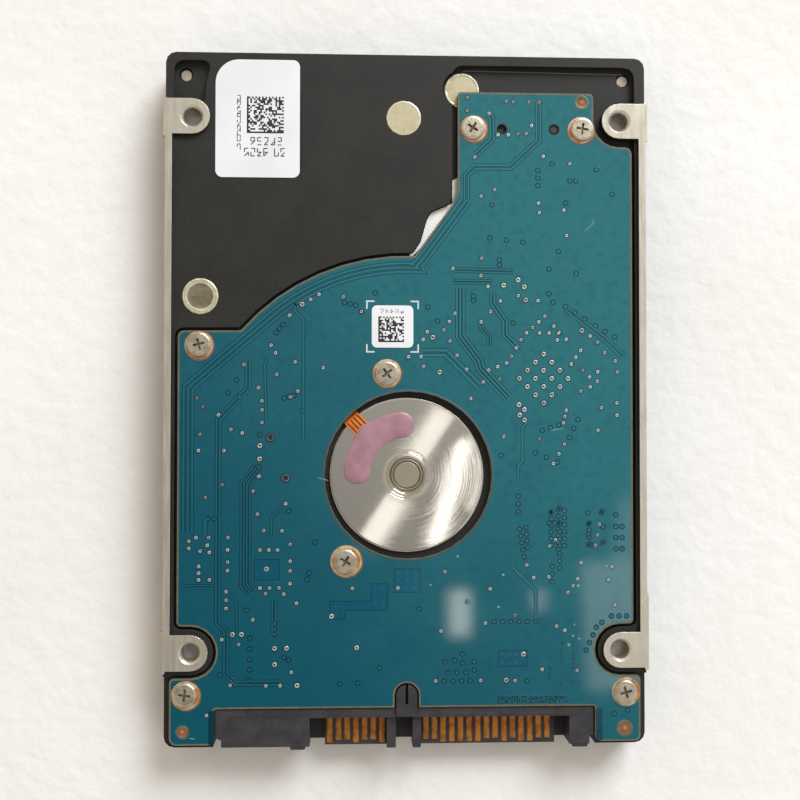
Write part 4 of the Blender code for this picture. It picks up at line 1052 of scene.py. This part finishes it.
def cross_tool(centre, direction, reach, width, low, high):
    """A cross-shaped prism that cuts the driver's recess."""
    half = width / 2
    corner = [(reach, -half), (reach, half), (half, half)]
    sketch = Sketch()
    points = []
    for quarter in range(4):
        turn = Matrix.Rotation(math.radians(direction + 90 * quarter), 2)
        points += [tuple(Vector(centre) + turn @ Vector(point)) for point in corner]
    sketch.plate(points, low, high, RECESS_DARK)
    return sketch.drawn("cross_tool")


def board_screw(number):
    """A low pan head with a rounded rim and a cross recess."""
    node = f"board_screw_{number}"
    low, high = span(node)
    centre, top = middle(node), high.z
    seat = BOARD_TOP + 0.03
    profile = [(0, top), (0.9, top), (1.36, top - 0.01), (1.5, top - 0.02), (1.58, top - 0.05),
               (1.65, top - 0.1), (1.68, top - 0.2), (1.7, top - 0.3), (1.7, seat + 0.05), (1.64, seat),
               (0.5, seat), (0.5, low.z), (0, low.z)]
    sketch = Sketch()
    sketch.turned(centre, profile, LOOKS["screw_steel"], 64)
    screw = sketch.make(f"board_screw_head_{number}", [node])
    cut_away(screw, cross_tool(centre, 35 + 23 * number, 0.86, 0.34, top - 0.32, top + 0.5))


def star_tool(centre, radius, low, high):
    """A six-lobed prism with rounded lobes."""
    points = []
    for i in range(48):
        angle = math.tau * i / 48
        reach = radius * (1 + 0.17 * math.cos(6 * angle))
        points.append((centre[0] + reach * math.cos(angle), centre[1] + reach * math.sin(angle)))
    sketch = Sketch()
    sketch.plate(points, low, high, RECESS_DARK)
    return sketch.drawn("star_tool")


def star_screw(node, head_radius, shank_radius, head_depth):
    """A screw that shows its six-lobed head on the cover side and its tip on the other."""
    low, high = span(node)
    centre = middle(node)
    bottom, tip = low.z, high.z
    under = bottom + head_depth
    profile = [(0, tip), (shank_radius - 0.15, tip), (shank_radius, tip - 0.15), (shank_radius, under),
               (head_radius, under), (head_radius, bottom + 0.12), (head_radius - 0.05, bottom + 0.04),
               (head_radius - 0.16, bottom), (0, bottom)]
    sketch = Sketch()
    sketch.turned(centre, profile, LOOKS["screw_steel"], 48)
    screw = sketch.make(f"{node}_turned", [node])
    cut_away(screw, star_tool(centre, head_radius * 0.45, bottom - 0.5, under - 0.1))


# ---------------------------------------------------------------- motor

def motor_parts():
    """The turned motor plate with its boss, and the bearing cap in its middle."""
    low, high = span("motor_plate")
    face, under, top, edge = 5.9, 5.0, high.z, (high.x - low.x) / 2
    profile = [(2.65, top - 0.04), (2.72, top), (3.02, top), (3.08, top - 0.06), (3.16, top - 0.06),
               (3.22, top - 0.02), (3.28, top - 0.04), (3.32, face + 0.01), (3.4, face - 0.05),
               (3.52, face - 0.05), (3.6, face), (3.7, face), (3.8, face), (7.5, face), (edge - 0.3, face),
               (edge - 0.22, face), (edge - 0.08, face - 0.05), (edge, face - 0.16), (edge, under),
               (3.3, under), (3.3, low.z), (2.65, low.z)]
    sketch = Sketch()
    sketch.turned(SPINDLE, profile, LOOKS["motor_metal"], 160)
    sketch.make("motor_plate_turned", ["motor_plate"], sharp=20)
    cap_low, cap_high = span("bearing_cap")
    top = cap_high.z
    rings = [(1.78, top - 0.03), (1.86, top - 0.12), (2.02, top - 0.12), (2.08, top), (2.2, top),
             (2.26, top - 0.1), (2.42, top - 0.1), (2.46, top - 0.03), (2.6, top - 0.05), (2.6, cap_low.z),
             (0, cap_low.z)]
    flat = turned_metal("satin_bearing_cap", (190, 181, 162), (172, 163, 144), 0.42)
    # Painted shade: the bottoms of the cap's two grooves are drawn in a darker copy of its metal.
    shaded_groove = tinned("bearing_groove_painted_shade", (112, 102, 84), (92, 82, 66), 0.6, 0.4)
    looks = [flat] * 2 + [shaded_groove] + [flat] * 3 + [shaded_groove] + [flat] * 4
    cap = Sketch()
    cap.turned(SPINDLE, [(0, top - 0.03)] + rings, looks, 96)
    cap.make("bearing_cap_turned", ["bearing_cap"], sharp=30)


def adhesive_bead():
    """A domed bead, bent round the motor's centre, that bulges outwards where it covers the ribbon."""
    low, high = span("adhesive_patch")
    radius, half, start, end = 7.22, 1.88, 96.7, 175.5

    def polar(centre, angle, reach):
        turn = math.radians(angle)
        return Vector(centre) + Vector((math.cos(turn), math.sin(turn))) * reach

    def side(angle, reach):
        """A point of the bead's spine, and the point of its edge that lies so far out from it."""
        return polar(SPINDLE, angle, radius), polar(SPINDLE, angle, radius + reach)

    def cap(angle, turn):
        """Half a circle round one end of the spine."""
        hub = polar(SPINDLE, angle, radius)
        return [(hub, polar(hub, turn + 180 * i / 14, half)) for i in range(1, 14)]

    angles = [start + (end - start) * i / 60 for i in range(61)]
    pairs = [side(a, half + 0.75 * math.exp(-((a - 134) / 8.5) ** 2)) for a in angles] + cap(end, end)
    pairs += [side(a, -half) for a in reversed(angles)] + cap(start, start + 180)
    sketch = Sketch()
    rings = []
    for step in range(10):
        slope = math.radians(80 * step / 9)
        ring = [hub + (edge - hub) * math.cos(slope) for hub, edge in pairs]
        rings.append(sketch.level_ring(ring, low.z + (high.z - low.z) * math.sin(slope)))
    sketch.solid(rings, LOOKS["pink_adhesive"])
    sketch.make("adhesive_bead", ["adhesive_patch"], sharp=80)


def flex_lines():
    """Copper lines in the motor's ribbon, raised under its film."""
    angle = math.radians(134.5)
    along, side = Vector((math.cos(angle), math.sin(angle))), Vector((-math.sin(angle), math.cos(angle)))
    top = span("motor_flex")[1].z
    sketch = Sketch()
    dark = tinned("copper_under_film", (112, 46, 8), (90, 36, 8), 0.3, 0.35)
    for offset in (-0.9, -0.3, 0.3, 0.9):
        path = [tuple(Vector(SPINDLE) + along * reach + side * offset) for reach in (9.25, 10.2, 11.25)]
        sketch.ribbon(path, 0.26, top - 0.02, top + 0.012, dark)
    sketch.make("motor_flex_lines")


# ---------------------------------------------------------------- labels and seals

def code_square(sketch, x, y, size, cells, ink):
    """A square of random cells with two solid edges: it looks like a printed code and holds nothing."""
    chance, low, high = ink
    cell = size / cells
    for column in range(cells):
        for line in range(cells):
            solid = column == 0 or line == 0
            edge = column == cells - 1 or line == cells - 1
            if solid or (edge and (column + line) % 2 == 0) or (not edge and chance.random() < 0.5):
                left, under = x + column * cell, y + line * cell
                sketch.plate(box(left, left + cell, under, under + cell), low, high, INK)


def text_row(sketch, x, y, count, size, step, ink):
    """A row of made-up marks; ink is the random source and the print's lowest and highest levels."""
    for place in row(x, y, count, *step):
        glyph(sketch, *place, size, *ink, INK)


def deck_label():
    low, high = span("base_label")
    outline = rectangle(low.x, high.x, low.y, high.y, [1.0, 1.0, 1.0, 3.4], 12)
    sketch = Sketch()
    top = high.z - 0.012
    sketch.plate(outline, low.z, top, LOOKS["label_paper"], 0.02)
    ink = (random.Random(3), top - 0.01, high.z)
    code_square(sketch, low.x + 4.5, low.y + 6.4, 5.3, 22, ink)
    text_row(sketch, low.x + 5.35, low.y + 5.25, 5, 1.05, (0.96, 0), ink)
    text_row(sketch, low.x + 4.45, low.y + 3.65, 4, 1.1, (0.92, 0), ink)
    text_row(sketch, low.x + 8.75, low.y + 3.65, 2, 1.1, (0.92, 0), ink)
    text_row(sketch, low.x + 3.35, low.y + 11.4, 9, 0.85, (0, -0.88), ink)
    sketch.make("deck_label", ["base_label"])


def board_label():
    low, high = span("board_label")
    sketch = Sketch()
    top = high.z - 0.01
    sketch.plate(rectangle(low.x, high.x, low.y, high.y, 0.75, 8), low.z, top, LOOKS["label_paper"], 0.015)
    ink = (random.Random(8), top - 0.01, high.z)
    code_square(sketch, low.x + 0.95, low.y + 0.8, 3.7, 16, ink)
    text_row(sketch, low.x + 1.5, high.y - 0.8, 5, 0.62, (0.72, 0), ink)
    sketch.make("board_code_label", ["board_label"])


def seals():
    """Three foil discs: one flat, one with a crinkled rim, one pressed down into its hole. A lighter copy of
    the foil paints highlight on the crinkled rims, and a darker copy paints shade in the pressed-in middle.
    """
    flat = LOOKS["seal_foil"]
    # Painted shade: a darker copy of the foil for the pressed-in middle.
    dark = foil("pressed_in_foil_painted_shade", (140, 132, 106), (116, 110, 88), 0.1)
    # Painted highlight: a lighter copy of the foil for the crinkled rims.
    rim_highlight_foil = foil("creased_rim_painted_highlight", (220, 216, 196), (196, 190, 164), 0.12)
    profiles = (
        ([(0, 0.06), (1.0, 0.06), (2.1, 0.06), (2.2, 0.06), (2.34, 0.075), (2.44, 0.05), (2.5, 0.02),
          (2.5, 0), (0, 0)], [flat] * 4 + [rim_highlight_foil] * 2 + [flat] * 2),
        ([(0, 0.06), (1.0, 0.06), (2.05, 0.06), (2.15, 0.06), (2.28, 0.09), (2.42, 0.12), (2.5, 0.1),
          (2.55, 0.03), (2.55, 0), (0, 0)], [flat] * 4 + [rim_highlight_foil] * 3 + [flat] * 2),
        ([(0, 0.02), (1.2, 0.02), (1.62, 0.03), (1.85, 0.09), (2.1, 0.12), (2.35, 0.1), (2.5, 0.12),
          (2.6, 0.02), (2.6, 0), (0, 0)], [dark] * 3 + [rim_highlight_foil, flat] + [rim_highlight_foil] * 2 + [flat] * 2),
    )
    for number, (profile, looks) in enumerate(profiles, 1):
        node = f"hole_seal_{number}"
        base = span(node)[0].z
        sketch = Sketch()
        sketch.turned(middle(node), [(radius, base + rise) for radius, rise in profile], looks, 96)
        piece = sketch.make(f"foil_seal_{number}", [node], sharp=60)
        crumple(piece, middle(node), base, number)


def crumple(piece, centre, base, number):
    """Works small creases into a seal's raised rim, and a ripple into its outline."""
    strength = {1: 0.15, 2: 0.5, 3: 0.4}[number]
    flat_radius, rim_radius = 2.18, 2.3
    for vert in piece.data.vertices:
        rise = vert.co.z / MM - base
        x, y = vert.co.x / MM - centre[0], vert.co.y / MM - centre[1]
        angle, radius = math.atan2(y, x), math.hypot(x, y)
        if rise > 0.001 and radius > flat_radius:
            wave = math.sin(angle * 9 + number) * 0.5 + math.sin(angle * 17 + radius * 3) * 0.3
            vert.co.z = (base + rise * (1 + strength * wave * 0.8)) * MM
        if radius > rim_radius:
            ripple = 1 - 0.006 * (1 + math.sin(angle * 13 + number * 2))
            vert.co.x, vert.co.y = (centre[0] + x * ripple) * MM, (centre[1] + y * ripple) * MM


def cover_print():
    """The big label on the cover side, with bars, a code and made-up marks, printed on its lower face."""
    low, high = span("cover_label")
    body_low = low.z + 0.012
    hole = circle(middle("pivot_screw"), 3.5, 48)
    edge = rectangle(low.x, high.x, low.y, high.y, 2.5, 8)
    sheet = sheet_from_loops("cover_label_sheet", [edge, hole], body_low, high.z, LOOKS["label_paper"])
    settle(sheet, ["cover_label"])
    chance = random.Random(21)
    sketch = Sketch()
    ink = (chance, low.z, body_low + 0.01)
    x = low.x + 4
    while x < low.x + 34:
        wide = chance.choice((0.25, 0.25, 0.5, 0.75))
        sketch.plate(box(x, x + wide, 4, 9), *ink[1:], INK)
        x += wide + chance.choice((0.3, 0.5, 0.8))
    sketch.plate(rectangle(low.x + 3, high.x - 3, -25.5, -19.5, 0.6, 4), *ink[1:], GREY_INK)
    for line in range(5):
        text_row(sketch, low.x + 4, -1.5 - 3.2 * line, 12 + (line * 5) % 7, 1.5, (1.6, 0), ink)
    for line in range(3):
        text_row(sketch, low.x + 4, 40 - 4 * line, 9 - line, 1.9, (2.1, 0), ink)
    code_square(sketch, high.x - 15, -12, 11, 20, ink)
    corners = box(low.x + 3, high.x - 3, 12, 18.5)
    sketch.ribbon(corners + corners[:1], 0.3, *ink[1:], INK)
    text_row(sketch, low.x + 6, 15.2, 10, 1.6, (1.9, 0), ink)
    sketch.make("cover_label_marks")


# ---------------------------------------------------------------- connector

def contact_strips(node, count, long_ones):
    """Separate sprung contacts, rounded at the tip, in place of the CAD's joined row."""
    low, high = span(node)
    width, pitch, long_tip, short_tip = 0.85, 1.27, -49.75, -49.35
    # Painted shade: each contact's rim is a darker copy of the gold, with its crown lighter, as if its
    # rounded edges were out of the light.
    bright = tinned(f"{node}_edges", (176, 128, 74), (140, 90, 50), 0.7, 0.34)
    sketch = Sketch()
    for i in range(count):
        left = low.x + i * pitch
        tip = long_tip if i in long_ones else short_tip
        outline = rectangle(left, left + width, tip, high.y, [0.16, 0.16, 0.05, 0.05], 5)
        sketch.plate(outline, low.z, high.z - 0.03, bright, 0.04)
        crown = rectangle(left + 0.14, left + width - 0.14, tip + 0.14, high.y - 0.1, 0.1, 4)
        sketch.plate(crown, low.z + 0.02, high.z, LOOKS["contact_gold"], 0.03)
    sketch.make(f"{node}_strips", [node])


def shell_details():
    """Seams on the connector's shell, and flat dark marks of painted shade in its small gaps."""
    low, high = span("connector_housing")
    plastic = LOOKS["connector_plastic"]
    level = 6.2
    seam = -45.1
    sketch = Sketch()
    for left, right in ((low.x + 0.4, -1.9), (1.9, high.x - 0.4)):
        sketch.ribbon([(left, seam), (right, seam)], 0.2, level - 0.02, level + 0.04, plastic)
    # Painted shade: flat dark marks for the shade in small gaps of the shell.
    for x in (-1.72, 1.72):
        sketch.ribbon([(x, -44.9), (x, -44.35)], 0.22, level - 0.02, level + 0.03, HOLE_DARK)
    sketch.plate(rectangle(25.4, 25.8, -44.75, -44.5), level - 0.02, level + 0.02, HOLE_DARK)
    sketch.make("shell_seams_and_slot_shade", sharp=50)


# ---------------------------------------------------------------- casting details

def deck_details():
    """The fine machined step right of the deck's label, and a bright line in the upper right pocket."""
    coat = LOOKS["coated_casting"]
    high = span("base_label")[1]
    sketch = Sketch()
    x = high.x + 0.55
    lines = ((x, 4.4, 16.2, 0.3, 0.05, HOLE_DARK), (x - 0.32, 5.0, 16.0, 0.16, 0.035, coat))
    for across, start, end, width, rise, look in lines:
        path = [(across, high.y - start), (across, high.y - end)]
        sketch.ribbon(path, width, DECK - 0.02, DECK + rise, look)
    pocket_floor = 5.3
    sketch.ribbon([(8.2, 48.15), (31.6, 47.9)], 0.2, pocket_floor - 0.02, pocket_floor + 0.04, EDGE_SHEEN)
    sketch.make("deck_tool_lines")


# ---------------------------------------------------------------- stage

def floor():
    mesh = bpy.data.meshes.new("floor")
    reach, level = 3.0, CAD_BOX[0].z - 0.0002
    mesh.from_pydata([(x, y, level) for x, y in box(-reach, reach, -reach, reach)], [], [(0, 1, 2, 3)])
    look = Look("pale_floor", roughness=0.75, soften=0.0, specular=0.2)
    fibre, cloud = look.noise(0.35, 3), look.noise(0.02, 2)
    look.layers(cloud, (232, 231, 229), (238, 238, 237), fibre, (226, 225, 224), 0.15, 0.5, 0.75)
    look.bump(fibre, 0.2)
    mesh.materials.append(look.material)
    shown(bpy.data.objects.new("floor", mesh))


def softbox(name, place, size, radiance, colour, turn=None):
    """A rectangular area light that faces the drive, or straight down if it has a turn in degrees.

    Such a light's energy is four times its radiance times its area.
    """
    data = bpy.data.lights.new(name, "AREA")
    data.shape = "RECTANGLE"
    data.size, data.size_y = size
    data.energy = radiance * 4 * size[0] * size[1]
    data.color = colour
    light = shown(bpy.data.objects.new(name, data))
    light.location = place
    light.rotation_mode = "QUATERNION"
    if turn is None:
        light.rotation_quaternion = (-Vector(place)).to_track_quat("-Z", "Y")
    else:
        light.rotation_quaternion = Matrix.Rotation(math.radians(turn), 3, "Z").to_quaternion()


def studio():
    """A window at the upper right, and small panels overhead that show as streaks and haze."""
    softbox("window", (0.68, 1.2, 0.95), (0.9, 0.8), 10.7, (0.93, 0.97, 1.0))
    overhead, white, warm, warmer = 0.9, (1, 1, 1), (1.0, 0.98, 0.92), (1.0, 0.98, 0.88)
    panels = (
        ("streak", (0.0845, -0.0675), (0.011, 0.103), 2.2, white, -16.3),
        ("edge_streak", (0.1125, -0.0575), (0.006, 0.055), 1.6, white, -14),
        ("faint_streak", (0.0215, -0.095), (0.022, 0.06), 0.95, white, -33),
        ("upper_streak", (0.066, -0.012), (0.02, 0.06), 0.85, white, -33),
        ("haze", (0.2375, -0.19), (0.055, 0.12), 1.7, warm, 3),
        ("upper_haze", (0.252, -0.13), (0.03, 0.12), 0.9, warm, -6),
        ("patch", (0.094, -0.178), (0.02, 0.042), 5.5, warmer, 0),
        ("small_patch", (0.168, -0.1665), (0.014, 0.019), 2.6, warm, 0),
    )
    for name, place, size, radiance, colour, turn in panels:
        softbox(name, (*place, overhead), size, radiance, colour, turn)
    soft_room()


def soft_room():
    """A pale room, warmer to the left; overhead it is dark at the lower left, bright at the upper right."""
    world = bpy.data.worlds.new("soft_room")
    world.use_nodes = True
    room = Nodes(world.node_tree)

    def ramp(value, *stops):
        """A colour for the value, through (position, colour) stops."""
        made = room.node("ShaderNodeValToRGB", value)
        for element, (position, colour) in zip(made.color_ramp.elements, stops):
            element.position, element.color = position, (*colour, 1)
        return made.outputs[0]

    ray = room.node("ShaderNodeTexCoord").outputs["Generated"]
    parts = room.node("ShaderNodeSeparateXYZ", ray)
    lean = room.node("ShaderNodeVectorMath", ray, (0.6, 0.8, 0), operation="DOT_PRODUCT")
    towards = room.node("ShaderNodeMapRange", lean.outputs["Value"], -0.35, 0.35, 0.0, 1.0)
    blend = room.node("ShaderNodeMix", data_type="RGBA")
    sides = (
        (0, ramp(parts.outputs["Z"], (0.75, (0, 0, 0)), (0.92, (1, 1, 1)))),
        (6, ramp(parts.outputs["X"], (0.0, (1.24, 1.04, 0.8)), (0.6, (1.1, 1.1, 1.1)))),
        (7, ramp(towards.outputs[0], (0.15, (0.2, 0.195, 0.19)), (0.9, (1.0, 1.0, 1.0)))),
    )
    for socket, colour in sides:
        room.join(colour, blend.inputs[socket])
    light = room.tree.nodes["Background"].inputs
    room.join(0.6, light["Strength"])
    room.join(blend.outputs[2], light["Color"])
    bpy.context.scene.world = world
    bpy.context.scene.view_settings.view_transform = "Standard"


def camera():
    """Almost straight above, a little to the left of the middle and tipped by about three degrees."""
    data = bpy.data.cameras.new("camera")
    data.lens = 51.3
    data.sensor_width = 36
    data.clip_start = 0.01
    made = shown(bpy.data.objects.new("camera", data))
    eye = Vector((-0.00823, -0.00361, 0.17037))
    right = Vector((0.999031, 0.00082, 0.043996))
    down = Vector((0.001779, -0.999762, -0.021763))
    ahead = Vector((0.043968, 0.02182, -0.998795))
    turn = Matrix((right, -down, -ahead)).transposed()
    made.matrix_world = Matrix.Translation(eye) @ turn.to_4x4()
    bpy.context.scene.camera = made


def drive():
    dress_cad_nodes()
    solder_mask()
    board_traces()
    board_vias()
    copper_areas()
    board_print()
    screw_pads()
    tooling_pads()
    residue()
    for number in range(1, 8):
        board_screw(number)
    for number in range(1, 7):
        star_screw(f"cover_screw_{number}", 1.9, 0.92, 0.5)
    star_screw("pivot_screw", 2.4, 0.8, 0.47)
    motor_parts()
    adhesive_bead()
    flex_lines()
    deck_label()
    board_label()
    seals()
    cover_print()
    contact_strips("signal_contacts", 7, (0, 3, 6))
    contact_strips("power_contacts", 15, (2, 3, 4, 5, 6, 9, 11, 12))
    shell_details()
    deck_details()


camera()
studio()
floor()
drive()
